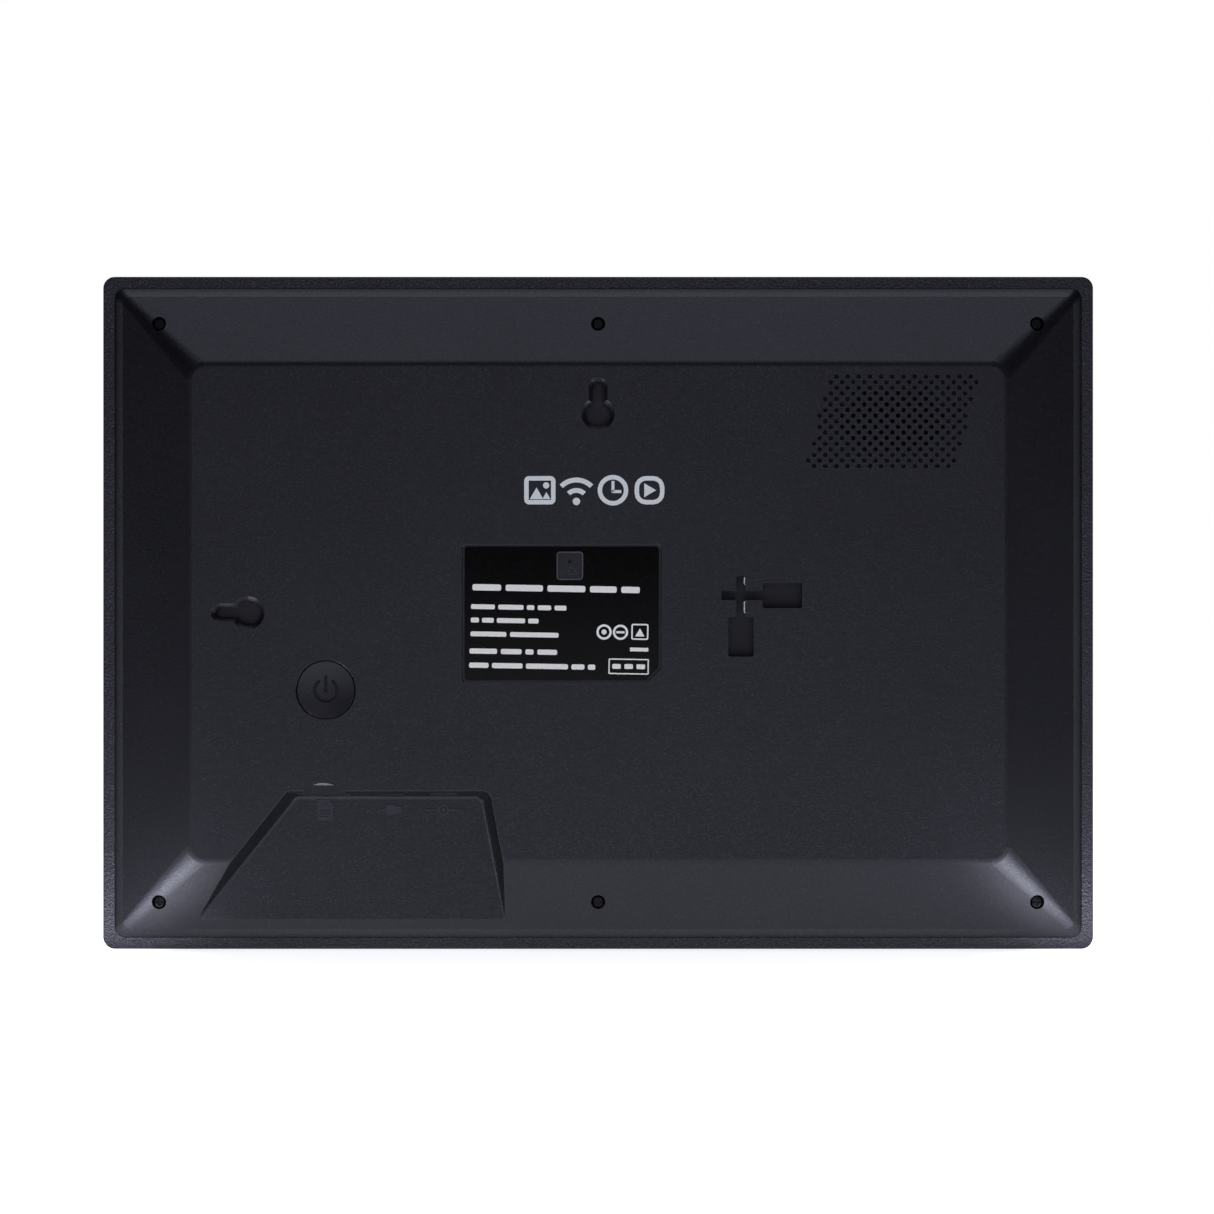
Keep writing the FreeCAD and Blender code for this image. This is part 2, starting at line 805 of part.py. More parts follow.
def hole_bevel(place, radius, bevel):
    """Cone that breaks the outer edge of a round hole in the flat back."""
    low = spot(place[0], back_face - bevel, place[1])
    return Part.makeCone(radius, radius + bevel, bevel, low, Vector(0, 1, 0))


def label_outline(shrink, y):
    """Label field with one cut corner, as a wire."""
    left, right = label_left - shrink, label_right + shrink
    top, bottom = label_top - shrink, label_bottom + shrink
    cut = label_cut_corner - 0.6 * shrink
    points = [(left, top), (right, top), (right, bottom + cut), (right + cut, bottom), (left, bottom)]
    return outline(points, label_corner * 0.9, y)


def socket_form(gap, y0, y1, room=0.0):
    """Keyed cross that the stand leg's foot enters, upright for either way of standing the frame."""
    x, z = socket_cross
    half = socket_slot_half + gap
    arm = socket_arm_short + gap
    key = socket_key_half + gap
    start = socket_key_start - gap
    end = socket_key_start + socket_key_length + gap
    upright = block(x - half - room, x + half, y0, y1, z - start - 0.5, z + arm)
    level = block(x + arm, x - start - 0.5, y0, y1, z - half, z + half)
    level_key = plate((end - start) / 2, key, socket_corner, y0, y1, (x - (start + end) / 2, z))
    upright_key = plate(key, (end - start) / 2, socket_corner, y0, y1, (x, z - (start + end) / 2))
    return upright.fuse([level, level_key, upright_key]).removeSplitter()


def socket_frame():
    """Middle and half sizes of the stand socket's cup, and the places of its screw ears."""
    x, z = socket_cross
    reach = socket_key_start + socket_key_length + socket_margin
    near = socket_arm_short + socket_margin
    centre = (x - (reach - near) / 2, z - (reach - near) / 2)
    half = (reach + near) / 2
    ears = [
        (centre[0] + half + socket_ear, centre[1] + 5.0),
        (centre[0] + half + socket_ear, centre[1] - half + 4.0),
        (centre[0] - half - socket_ear, centre[1] - half + 4.0),
    ]
    return centre, half, ears


def pocketed_skin(skin):
    """Outer form with the connector pocket cut into it, its floor creases and its mouth rounded."""
    pocket = pocket_form(0.0, pocket_floor, back_face)
    creases = around_edges(pocket, lambda p: abs(p.y - pocket_floor) < 0.01 and p.z > 0)
    pocket = pocket.makeFillet(pocket_crease_round, creases)
    body = skin.cut(pocket)
    low_end = spot(0, 0, -plateau_half_z - slope_run * 0.85).z
    walls, surface = pocket.Shells[0], skin.Shells[0]

    def on_mouth(point):
        spot_here = Part.Vertex(point)
        near = walls.distToShape(spot_here)[0] < 1e-4 and surface.distToShape(spot_here)[0] < 1e-4
        return near and point.z > low_end

    return body.makeFillet(pocket_mouth_round, around_edges(body, on_mouth))


def rear_cover():
    """Rear cover with its bosses, openings, connector pocket, grille and label field."""
    skin = cover_skin()
    pocket_room = pocket_form(pocket_wall, pocket_floor - wall, back_face)
    scoop = (card_x, pocket_top + scoop_rise - scoop_radius)
    scoop_room = rod(scoop, scoop_radius + pocket_wall, card_ledge - pocket_wall, back_face)
    hollow = cover_hollow().cut([pocket_room, scoop_room])
    cover = pocketed_skin(skin).cut(hollow)
    bosses = [rod(place, screw_boss_radius, post_top, back_face) for place in screw_places]
    bosses = [boss.common(skin) for boss in bosses]
    bosses += [keyhole_boss(top_keyhole, (0, 1)), keyhole_boss(side_keyhole, (1, 0))]
    x, z = button_place
    for side in (-1, 1):
        place = (x + side * guide_post_place, z)
        bosses.append(rod(place, guide_post_radius, inner_back - guide_post_length, inner_back + boss_root))
    bosses.append(rod(reset_place, reset_tube_radius, reset_tube_end, inner_back + boss_root))
    for place in ear_places():
        bosses.append(rod(place, ear_radius - ear_boss_inset, speaker_flange_back, inner_back + boss_root))
    for ear in socket_frame()[2]:
        bosses.append(rod(ear, socket_ear - ear_boss_inset, socket_ear_back, inner_back + boss_root))
    cover = cover.fuse(bosses)

    cuts = [rod(scoop, scoop_radius, card_ledge, back_face)]
    cuts += keyhole_cut(top_keyhole, (0, 1)) + keyhole_cut(side_keyhole, (1, 0))
    for place in screw_places:
        cuts.append(rod(place, screw_well_radius, screw_seat, back_face))
        cuts.append(rod(place, screw_shank_radius + screw_hole_gap, post_top, screw_seat))
    cuts.append(rod(button_place, button_radius + button_gap, inner_back, back_face))
    cuts.append(hole_bevel(button_place, button_radius + button_gap, mouth_bevel))
    cuts.append(rod(reset_place, reset_hole_radius, inner_back, back_face))
    cuts.append(rod(reset_place, reset_tube_bore, reset_tube_end, inner_back))
    cuts.append(slab(label_outline(0.0, back_face - label_recess), label_recess))
    cuts.append(frustum(label_outline(0.0, back_face - mouth_bevel), label_outline(-mouth_bevel, back_face)))
    cuts.append(socket_form(0.0, inner_back - 0.1, back_face))
    for place in ear_places():
        cuts.append(rod(place, ear_screw_shank + running_gap, speaker_flange_back, back_face - blind_wall))
    for ear in socket_frame()[2]:
        cuts.append(rod(ear, ear_screw_shank + running_gap, socket_ear_back, back_face - blind_wall))
    cuts += port_windows()
    mark_z = pocket_top - mark_drop
    marks = [card_mark(card_x, mark_z), plug_mark(usb_x, mark_z), barrel_mark(jack_x, mark_z), restart_mark()]
    cover = cover.cut(cuts).fuse(marks).removeSplitter()
    through, blind = grille_places()
    holes = [grille_hole(place, grille_hole_inner, wall) for place in through]
    holes += [grille_hole(place, grille_dimple_inner, dimple_depth) for place in blind]
    return cover.cut(Part.makeCompound(holes))


def raised_line(x0, x1, z, floor, rise, width=mark_line):
    """Low bar along X, rooted in the surface it stands on."""
    return block(x0, x1, floor - rise, floor + rise, z - width / 2, z + width / 2)


def raised_triangle(points, floor, rise):
    wire = Part.makePolygon([spot(x, floor - rise, z) for x, z in points + points[:1]])
    return Part.Face(wire).extrude(Vector(0, 2 * rise, 0))


def raised_ring(place, radius, line, floor, rise):
    ring = rod(place, radius, floor - rise, floor + rise)
    return ring.cut(rod(place, radius - line, floor - rise, floor + rise))


def card_mark(x, z):
    """Memory card with a cut corner, an arrow and three contact lines."""
    half_x, half_z = card_mark_width / 2, card_mark_height / 2
    points = [
        (x + half_x, z + half_z),
        (x - half_x + card_mark_cut, z + half_z),
        (x - half_x, z + half_z - card_mark_cut),
        (x - half_x, z - half_z),
        (x + half_x, z - half_z),
    ]
    low_rise = 0.6 * mark_rise
    card = slab(outline(points, mark_line / 2, pocket_floor - mark_rise), mark_rise + low_rise)
    top = z + half_z - 2 * mark_line
    base = top - card_mark_arrow
    arrow = [(x, top), (x - card_mark_arrow, base), (x + card_mark_arrow, base)]
    parts = [raised_triangle(arrow, pocket_floor + low_rise, mark_rise)]
    for row in range(3):
        height = z - half_z + mark_line * (1.5 + 1.6 * row)
        reach = half_x - 1.6 * mark_line
        line = raised_line(x - reach, x + reach, height, pocket_floor + low_rise, mark_rise, 0.7 * mark_line)
        parts.append(line)
    return card.fuse(parts)


def plug_mark(x, z):
    """Plug seen from the side: its lead, its grip and its tip."""
    grip = plug_mark_height / 2
    tip = 0.66 * grip
    middle = 0.4 * plug_mark_half
    low, high = pocket_floor - mark_rise, pocket_floor + mark_rise
    body = plate(middle, grip, mark_line / 2, low, high, (x, z))
    end = block(x - plug_mark_half, x - middle, low, high, z - tip, z + tip)
    start = x - plug_mark_half + mark_line
    for side in (-1, 1):
        hole = raised_line(start, start + mark_line, z + side * tip / 2, high, 0.5 * mark_rise)
        end = end.cut(hole)
    return body.fuse([end, raised_line(x + middle, x + plug_mark_half, z, pocket_floor, mark_rise)])


def barrel_mark(x, z):
    """Barrel connector seen end on, with a line to each side."""
    ring = raised_ring((x, z), barrel_mark_radius, mark_line, pocket_floor, mark_rise)
    pin = rod((x, z), mark_line, pocket_floor - mark_rise, pocket_floor + mark_rise)
    near = barrel_mark_radius - mark_line / 2
    lines = [raised_line(x + s * near, x + s * barrel_mark_half, z, pocket_floor, mark_rise) for s in (-1, 1)]
    return ring.fuse([pin] + lines)


def restart_mark():
    """Broken ring with an arrow head, under the reset pinhole."""
    x, z = restart_mark_place
    floor = back_face - label_recess
    rise = restart_mark_rise
    ring = raised_ring(restart_mark_place, restart_mark_radius, restart_mark_line, floor, rise)
    reach = 2 * restart_mark_radius
    gap = raised_triangle([(x, z), (x + reach, z + 0.3 * reach), (x + 0.3 * reach, z + reach)], floor, rise)
    middle = restart_mark_radius - restart_mark_line / 2
    tip_x = x + 0.3 * middle - restart_mark_arrow / 2
    head_z = z + middle
    head = [
        (tip_x + 1.2 * restart_mark_arrow, head_z),
        (tip_x, head_z + restart_mark_arrow),
        (tip_x, head_z - restart_mark_arrow),
    ]
    return ring.cut(gap).fuse(raised_triangle(head, floor, rise))


def port_windows():
    """Openings in the pocket's upper wall for the card, USB and power connectors."""
    z0, z1 = pocket_top - 4.0, pocket_top + scoop_rise + pocket_wall + 0.2
    gap = window_gap
    windows = []
    for x, width, height in (
        (card_x, card_width, card_height),
        (usb_x, usb_width, usb_height),
        (jack_x, jack_width, jack_height),
    ):
        half = width / 2 + gap
        windows.append(block(x - half, x + half, board_face - 0.1, board_face + height + gap, z0, z1))
    peep_top = pocket_top + scoop_rise - 0.2
    half = scoop_peep_width / 2
    peep = block(card_x - half, card_x + half, board_face, card_ledge, peep_top - scoop_peep_height, peep_top)
    return windows + [peep]


# ---------------------------------------------------------------- screen
def glass_tape():
    """Foam tape frame between the bezel and the touch glass."""
    ring = plate(module_half_x, module_half_z, module_corner, lip_back, glass_front)
    return ring.cut(plate(opening_half_x + 0.8, opening_half_z + 0.8, 0.8, lip_back, glass_front))


def led_bar():
    """Lighting bar under the light guide: a thin strip with its lamps facing up."""
    low = -stack_half_z + 0.1
    y0, y1 = diffuser_back + 0.1, guide_back - 0.1
    half = stack_half_x - led_bar_inset
    seat = low + led_bar_height - led_height
    strip = block(-half, half, y0, y1, low, seat)
    middle = (y0 + y1) / 2
    lamps = []
    for i in range(led_count):
        x = half * (2 * (i + 0.5) / led_count - 1)
        x0, x1 = x - led_length / 2, x + led_length / 2
        lamps.append(block(x0, x1, middle - led_depth / 2, middle + led_depth / 2, seat, seat + led_height))
    return strip, Part.makeCompound(lamps)


def light_guide():
    low = -stack_half_z + led_bar_height + 0.3
    return block(-stack_half_x, stack_half_x, diffuser_back, guide_back, low, stack_half_z)


def lcd_tray():
    """Steel pan that holds the lighting layers, with the LCD cell on its rim."""
    pan = plate(module_half_x, module_half_z, module_corner, cell_back, tray_back)
    inner_x, inner_z = module_half_x - tray_thickness, module_half_z - tray_thickness
    return pan.cut(plate(inner_x, inner_z, 0.6, cell_back, reflector_back))


def lcd_brackets():
    """Steel clips that press the screen module into the front frame."""
    clips = []
    for x, z in bracket_posts:
        side = math.copysign(1, x)
        outer = x + side * bracket_post_radius
        middle = outer - side * bracket_length / 2
        back = tray_back + bracket_thickness
        clip = plate(bracket_length / 2, bracket_width / 2, bracket_corner, tray_back, back, (middle, z))
        hole = rod((x, z), bracket_screw_shank + screw_hole_gap, tray_back, back)
        clips.append(clip.cut(hole))
    return Part.makeCompound(clips)


def screws_at(places, *sizes):
    return Part.makeCompound([pan_screw(place, *sizes) for place in places])


def screen_flex(centre_x, width, start_y):
    """Flat cable that leaves the screen's lower edge, turns round it and rises to the main board."""
    run_y = tray_back + 0.2 + flex_thickness / 2
    end_y = board_front - connector_height / 2
    path = [
        (start_y, -module_half_z),
        (start_y, -module_half_z - flex_loop),
        (run_y, -module_half_z - flex_loop),
        (run_y, board_bottom),
        (end_y, board_bottom + connector_inset - 1.5),
        (end_y, board_bottom + connector_inset),
    ]

    def place(y, z):
        return spot(centre_x - width / 2, y, z)

    return bent_strip(path, flex_bend, flex_thickness, place, Vector(width, 0, 0))


def under_connector(centre_x, width):
    """Flat-cable connector on the side of the main board that faces the screen."""
    half = width / 2 + 1.0
    low = board_bottom + connector_inset
    front = board_front - connector_height
    return block(centre_x - half, centre_x + half, front, board_front, low, low + connector_length)


# ---------------------------------------------------------------- main board
def board_holes():
    inset = board_hole_inset
    return [
        (x, z)
        for x in (board_right + inset, board_left - inset)
        for z in (board_bottom + inset, board_top - inset)
    ]


def main_board():
    middle = (board_middle, (board_bottom + board_top) / 2)
    half_x, half_z = (board_left - board_right) / 2, (board_top - board_bottom) / 2
    board = plate(half_x, half_z, board_corner, board_front, board_face, middle)
    return board.cut([rod(place, board_hole_radius, board_front, board_face) for place in board_holes()])


def board_standoffs():
    posts = []
    for place in board_holes():
        post = rod(place, standoff_radius, tray_back, board_front)
        posts.append(post.cut(rod(place, screw_shank_radius + running_gap, tray_back, board_front)))
    return Part.makeCompound(posts)


def chip(x, z, half_x, half_z, height):
    """Square-edged chip standing on the main board's face."""
    return block(x - half_x, x + half_x, board_face, board_face + height, z - half_z, z + half_z)


def soldered(sizes, dx=0.0, dz=0.0):
    """Chip given by its place on the board, its half sizes and its height."""
    x, share, half_x, half_z, height = sizes
    z = board_bottom + share * (board_top - board_bottom)
    return chip(board_middle + x + dx, z + dz, half_x, half_z, height)


def card_socket():
    half = card_width / 2
    top, back = board_face + card_height, port_mouth + card_length
    body = block(card_x - half, card_x + half, board_face, top, port_mouth, back)
    middle = board_face + card_height / 2
    half_slot = card_slot_width / 2
    slot = block(
        card_x - half_slot,
        card_x + half_slot,
        middle - card_slot_height / 2,
        middle + card_slot_height / 2,
        port_mouth,
        port_mouth + card_slot_depth,
    )
    return body.cut(slot)


def usb_ring(inset, z0, z1):
    """Outline of the USB shell with its two chamfered lower corners, run from z0 to z1."""
    half = usb_width / 2 - inset
    low, high = board_face + inset, board_face + usb_height - inset
    cut = usb_chamfer
    points = [
        (usb_x - half + cut, low),
        (usb_x + half - cut, low),
        (usb_x + half, low + cut),
        (usb_x + half, high),
        (usb_x - half, high),
        (usb_x - half, low + cut),
        (usb_x - half + cut, low),
    ]
    wire = Part.makePolygon([spot(x, y, z0) for x, y in points])
    return Part.Face(wire).extrude(Vector(0, 0, z1 - z0))


def usb_socket():
    back = port_mouth + usb_length
    return usb_ring(0.0, port_mouth, back).cut(usb_ring(usb_shell, port_mouth, back - usb_shell))


def usb_tongue():
    half = tongue_width / 2
    front = board_face + tongue_rise
    back = port_mouth + usb_length - usb_shell
    return block(usb_x - half, usb_x + half, front, front + tongue_height, port_mouth + tongue_sink, back)


def jack_cylinder(radius, z0, z1):
    low = spot(jack_x, board_face + jack_height / 2, z0)
    return Part.makeCylinder(radius, z1 - z0, low, Vector(0, 0, 1))


def dc_jack():
    half = jack_width / 2
    top, back = board_face + jack_height, port_mouth + jack_length
    body = block(jack_x - half, jack_x + half, board_face, top, port_mouth, back)
    return body.cut(jack_cylinder(jack_bore_radius, port_mouth, port_mouth + jack_bore_depth))


def dc_pin():
    back = port_mouth + jack_bore_depth
    pin = jack_cylinder(jack_pin_radius, back - jack_pin_length, back)
    tip = [e for e in pin.Edges if e.Closed and e.BoundBox.ZMax < spot(0, 0, back - 1).z]
    return pin.makeFillet(jack_pin_radius * 0.6, tip)


def push_switch(place, size, travel, height, bore, seat):
    """Tact switch body with the bore that its plunger sinks into."""
    body = chip(place[0], place[1], size / 2, size / 2, height)
    top = board_face + height
    return body.cut(rod(place, bore + running_gap, top - seat - travel - 0.1, top))


def plunger(place, stand, height, radius, seat):
    top = board_face + height
    return rod(place, radius, top - seat, top + stand)


def power_button():
    """Round cap with a dished face, an engraved power symbol, a guided flange and a stem."""
    x, z = button_place
    edge = back_face - button_sink
    ball = (button_radius**2 + button_dish**2) / (2 * button_dish)
    flange_back = inner_back - button_flange_gap
    flange_front = flange_back - button_flange_thickness
    cap = rod(button_place, button_radius, flange_front, edge)
    rim = around_edges(cap, lambda p: p.y > edge - 0.01)
    cap = cap.makeFillet(button_edge_round, [e for e in rim if e.Closed])
    cap = cap.cut(Part.makeSphere(ball, spot(x, edge - button_dish + ball, z)))
    flange = rod(button_place, button_flange_radius, flange_front, flange_back)
    stem = rod(button_place, button_stem_radius, button_seat, flange_front)
    for side in (-1, 1):
        place = (x + side * guide_post_place, z)
        notch = rod(place, guide_post_radius + notch_gap, flange_front, flange_back)
        flange = flange.cut(notch)
    shell = cap.fuse([flange, stem])
    floor = edge - button_dish - symbol_depth
    ring = rod(button_place, symbol_radius, floor, back_face)
    ring = ring.cut(rod(button_place, symbol_radius - symbol_line, floor, back_face))
    reach = symbol_radius * 2
    spread = reach * math.tan(math.radians(symbol_gap_angle))
    corners = [(x, z), (x + spread, z + reach), (x - spread, z + reach), (x, z)]
    gap = Part.makePolygon([spot(a, floor, b) for a, b in corners])
    ring = ring.cut(Part.Face(gap).extrude(Vector(0, back_face - floor, 0)))
    half_line = symbol_line / 2
    bar = block(x - half_line, x + half_line, floor, back_face, z + symbol_bar_bottom, z + symbol_bar_top)
    return shell.cut([ring, bar]).removeSplitter()


# ---------------------------------------------------------------- speaker
def speaker_oval(inset, y0, y1):
    """Racetrack block of the speaker, inset from its rim."""
    half_height_here = speaker_half_height - inset
    straight = speaker_half_length - speaker_half_height
    x, z = speaker_place
    return stadium((x - straight, z), (x + straight, z), half_height_here, y0, y1)


def speaker_gasket():
    ring = speaker_oval(0.0, speaker_flange_back, inner_back)
    return ring.cut(speaker_oval(gasket_width, speaker_flange_back, inner_back))


def ear_places():
    """Screw ears at the two ends of the speaker."""
    x, z = speaker_place
    return [(x - ear_place, z), (x + ear_place, z)]


def speaker_frame():
    """Pressed speaker basket with two screw ears."""
    flange = speaker_oval(0.0, speaker_flange_front, speaker_flange_back)
    rim = (speaker_place[0], speaker_place[1])
    ears = [
        stadium(place, rim, ear_radius, speaker_flange_front, speaker_flange_back) for place in ear_places()
    ]
    tub = speaker_oval(speaker_rim, basket_front, speaker_flange_front)
    body = flange.fuse(ears + [tub])
    body = body.cut(speaker_oval(speaker_rim + basket_wall, basket_front + basket_wall, speaker_flange_back))
    bore = ear_screw_shank + screw_hole_gap
    holes = [rod(place, bore, speaker_flange_front, speaker_flange_back) for place in ear_places()]
    return body.cut(holes).removeSplitter()


def speaker_cone():
    """Thin dished cone with its flat dust cap."""
    inset = speaker_rim + basket_wall + 0.3
    back = speaker_flange_back - 0.1
    wide = speaker_half_height - inset
    straight = speaker_half_length - speaker_half_height

    def ring(half_x, half_z, y):
        return rectangle(half_x, half_z, half_z * 0.96, y, speaker_place)

    def dish(shift):
        small = ring(straight * 0.6 + wide * 0.5, wide * 0.5, back - cone_depth + shift)
        return frustum(small, ring(straight + wide, wide, back + shift))

    return dish(0.0).cut(dish(cone_thickness))


# ---------------------------------------------------------------- stand socket
def stand_socket():
    """Cup behind the keyed opening, with three screw ears."""
    centre, half, ears = socket_frame()
    cup = plate(half, half, 1.5, socket_front, socket_back, centre)
    lugs = []
    ear_front = socket_ear_back - socket_ear_thickness
    for x, z in ears:
        inner = (x - math.copysign(2 * socket_ear, x - centre[0]), z)
        lugs.append(stadium((x, z), inner, socket_ear, ear_front, socket_ear_back))
    cup = cup.fuse(lugs)
    cup = cup.cut(socket_form(socket_gap, socket_bottom, socket_back, spring_room))
    bore = ear_screw_shank + screw_hole_gap
    return cup.cut([rod(ear, bore, ear_front, socket_ear_back) for ear in ears]).removeSplitter()


def stand_spring():
    """Two steel leaves in the upright slot that grip the stand leg's foot."""
    x, z = socket_cross
    crest = x - socket_slot_half + spring_thickness / 2 + spring_reach
    foot = x - socket_slot_half - socket_gap - spring_room + spring_thickness / 2
    low = socket_bottom + spring_clearance
    width = Vector(0, socket_back - spring_clearance - low, 0)

    def place(a, b):
        return spot(a, low, z + b)

    leaves = []
    for path in spring_leaves:
        points = [(foot, path[0]), (foot, path[1]), (crest, path[2]), (crest, path[3])]
        points.append((crest - spring_lead_in, path[4]))
        leaves.append(bent_strip(points, spring_bend, spring_thickness, place, width))
    return Part.makeCompound(leaves)


# ---------------------------------------------------------------- label, antenna, wiring
def rating_label():
    """Glossy label in its field, with a window round the reset pinhole."""
    floor = back_face - label_recess
    sheet = slab(label_outline(label_gap, floor), label_thickness)
    half_x, half_z = label_window_width / 2, label_window_height / 2
    top = floor + label_thickness
    return sheet.cut(plate(half_x, half_z, label_window_corner, floor, top, label_window_centre))


def antenna_centre():
    return (board_middle + 21.0, board_top + 22.0)


def antenna():
    front = inner_back - antenna_thickness
    return plate(antenna_length / 2, antenna_height / 2, 0.8, front, inner_back, antenna_centre())


def wifi_place():
    return (board_left - wifi_inset[0], board_top - wifi_inset[1])


def antenna_lead():
    """Thin lead from the WiFi module up to the antenna on the rear cover."""
    x, z = wifi_place()
    end_x, end_z = antenna_centre()
    low = board_face + 2.0
    high = inner_back - antenna_thickness - lead_diameter / 2
    points = [
        (x + plug_shift, low, z + plug_rise + plug_half),
        (x + plug_shift, low, z + 14.0),
        (x + 1.5, high - 0.8, z + 22.0),
        (x - 3.0, high, end_z - 8.0),
        (x - 4.5, high, end_z),
    ]
    return lead(points, lead_diameter)


def speaker_plug_x():
    return board_right + speaker_plug_inset


def speaker_wires():
    """Pair of leads from the speaker's terminals, past the stand's socket, to the main board."""
    x, z = speaker_place
    past_x, past_z = socket_cross
    end_x = speaker_plug_x() - speaker_plug_half
    end_z = speaker_plug_z
    wires = []
    for side in (-1, 1):
        lift = side * (lead_diameter / 2 + 0.1)
        points = [
            (x + speaker_half_length - speaker_rim, 6.2 + lift, z - 2.0),
            (x + 26.0, 6.2 + lift, z - 9.0),
            (past_x + 1.4, 5.9 + lift, past_z + 26.7),
            (past_x + 17.4, 5.4 + lift, past_z + 20.7),
            (past_x + 28.4, 5.2 + lift, past_z + 9.7),
            (end_x - 6.0, board_face + 1.7 + lift, end_z),
            (end_x, board_face + 1.7 + lift, end_z),
        ]
        wires.append(lead(points, lead_diameter))
    return Part.makeCompound(wires)


# ---------------------------------------------------------------- the whole frame
def casing_pieces():
    """Front frame, rear cover, its screws, the button, the label and the stand socket."""
    cover_screw = (screw_seat, screw_head_radius, screw_head_height, screw_shank_radius, screw_shank_length)
    ear_front = socket_ear_back - socket_ear_thickness
    return {
        "front_frame": front_frame(),
        "rear_cover": rear_cover(),
        "cover_screws": screws_at(screw_places, *cover_screw),
        "power_button": power_button(),
        "rating_label": rating_label(),
        "stand_socket": stand_socket(),
        "stand_spring": stand_spring(),
        "socket_screws": screws_at(socket_frame()[2], ear_front, *ear_screw),
    }


def screen_pieces():
    """Touch glass, display cell, lighting layers, their tray, clips and flexes, from front to back."""
    led_strip, leds = led_bar()
    clip_back = tray_back + bracket_thickness
    clip_screw = (clip_back, bracket_screw_head, small_head_height, bracket_screw_shank, bracket_screw_length)
    return {
        "glass_tape": glass_tape(),
        "touch_glass": plate(module_half_x, module_half_z, module_corner, glass_front, glass_back),
        "glass_adhesive": plate(stack_half_x, stack_half_z, module_corner, glass_back, cell_front),
        "lcd_cell": plate(module_half_x, module_half_z, module_corner, cell_front, cell_back),
        "diffuser_sheet": plate(stack_half_x, stack_half_z, film_corner, cell_back, diffuser_back),
        "light_guide": light_guide(),
        "led_strip": led_strip,
        "leds": leds,
        "reflector_sheet": plate(stack_half_x, stack_half_z, film_corner, guide_back, reflector_back),
        "lcd_tray": lcd_tray(),
        "lcd_brackets": lcd_brackets(),
        "bracket_screws": screws_at(bracket_posts, *clip_screw),
        "display_flex": screen_flex(display_flex_x, display_flex_width, (cell_front + cell_back) / 2),
        "touch_flex": screen_flex(touch_flex_x, touch_flex_width, (glass_front + glass_back) / 2),
    }


def board_pieces():
    """Main board with what is soldered or screwed to it."""
    board_screw_length = standoff_height + board_thickness - board_screw_spare
    board_screw = (board_face, board_screw_head, board_screw_height, screw_shank_radius, board_screw_length)
    coils = [soldered(coil_chip, dx=i * coil_pitch) for i in range(coil_count)]
    memories = [soldered(memory_chip, dz=i * memory_pitch) for i in range(memory_count)]
    can_z = board_top - can_drop
    can_places = [(board_middle + can_start + can_pitch * i, can_z) for i in range(can_count)]
    cans = [rod(place, can_radius, board_face, can_back) for place in can_places]
    power_sizes = (switch_height, plunger_radius, plunger_seat)
    reset_sizes = (reset_height, reset_plunger_radius, reset_plunger_seat)
    return {
        "main_board": main_board(),
        "board_standoffs": board_standoffs(),
        "board_screws": screws_at(board_holes(), *board_screw),
        "display_connector": under_connector(display_flex_x, display_flex_width),
        "touch_connector": under_connector(touch_flex_x, touch_flex_width),
        "processor": soldered(processor_chip),
        "memory_chips": Part.makeCompound(memories),
        "storage_chip": chip(board_middle + storage_shift, board_top - storage_drop, *storage_size),
        "power_coils": Part.makeCompound(coils),
        "capacitors": Part.makeCompound(cans),
        "card_socket": card_socket(),
        "usb_socket": usb_socket(),
        "usb_tongue": usb_tongue(),
        "dc_jack": dc_jack(),
        "dc_pin": dc_pin(),
        "power_switch": push_switch(button_place, switch_size, button_travel, *power_sizes),
        "power_plunger": plunger(button_place, plunger_stand, *power_sizes),
        "reset_switch": push_switch(reset_place, reset_size, reset_travel, *reset_sizes),
        "reset_plunger": plunger(reset_place, reset_plunger_stand, *reset_sizes),
    }


def radio_pieces():
    """WiFi module, its shield and plug, and the antenna with its lead."""
    x, z = wifi_place()
    low, high = board_face + wifi_board, board_face + wifi_board + shield_height
    shield_top = z + plug_rise - plug_half - part_gap
    plug_z = z + plug_rise
    plug = chip(x + plug_shift, plug_z, plug_half, plug_half, plug_height)
    return {
        "wifi_module": chip(x, z, wifi_half_x, wifi_half_z, wifi_board),
        "wifi_shield": block(x - shield_half, x + shield_half, low, high, z - shield_half, shield_top),
        "antenna_plug": plug.cut(chip(x + plug_shift, plug_z, plug_half, plug_half, wifi_board)),
        "antenna": antenna(),
        "antenna_lead": antenna_lead(),
    }


def speaker_pieces():
    """Speaker behind the grille, with its gasket, screws, leads and plug."""
    magnet_front = basket_front - magnet_thickness
    return {
        "speaker_gasket": speaker_gasket(),
        "speaker_frame": speaker_frame(),
        "speaker_cone": speaker_cone(),
        "speaker_magnet": rod(speaker_place, magnet_radius, magnet_front, basket_front),
        "speaker_screws": screws_at(ear_places(), speaker_flange_front, *ear_screw),
        "speaker_wires": speaker_wires(),
        "speaker_plug": chip(speaker_plug_x(), speaker_plug_z, speaker_plug_half, speaker_plug_half, 3.2),
    }


os.makedirs("parts", exist_ok=True)
for group in (casing_pieces, screen_pieces, board_pieces, radio_pieces, speaker_pieces):
    for name, shape in group().items():
        print(name, "solids", len(shape.Solids), "valid", shape.isValid(), "volume", round(shape.Volume, 1))
        shape.exportStep("parts/" + name + ".step")
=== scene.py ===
# %% [markdown]
# # A digital photo frame, seen from behind
# This lesson dresses a finished CAD model of a 10 inch WiFi photo frame. The model brings every
# part at its true size and place, so the work here is what a camera sees: light, the grain of the
# moulded plastic, and the thin printed layers that a CAD model leaves out.

# %% Load the frame
import math

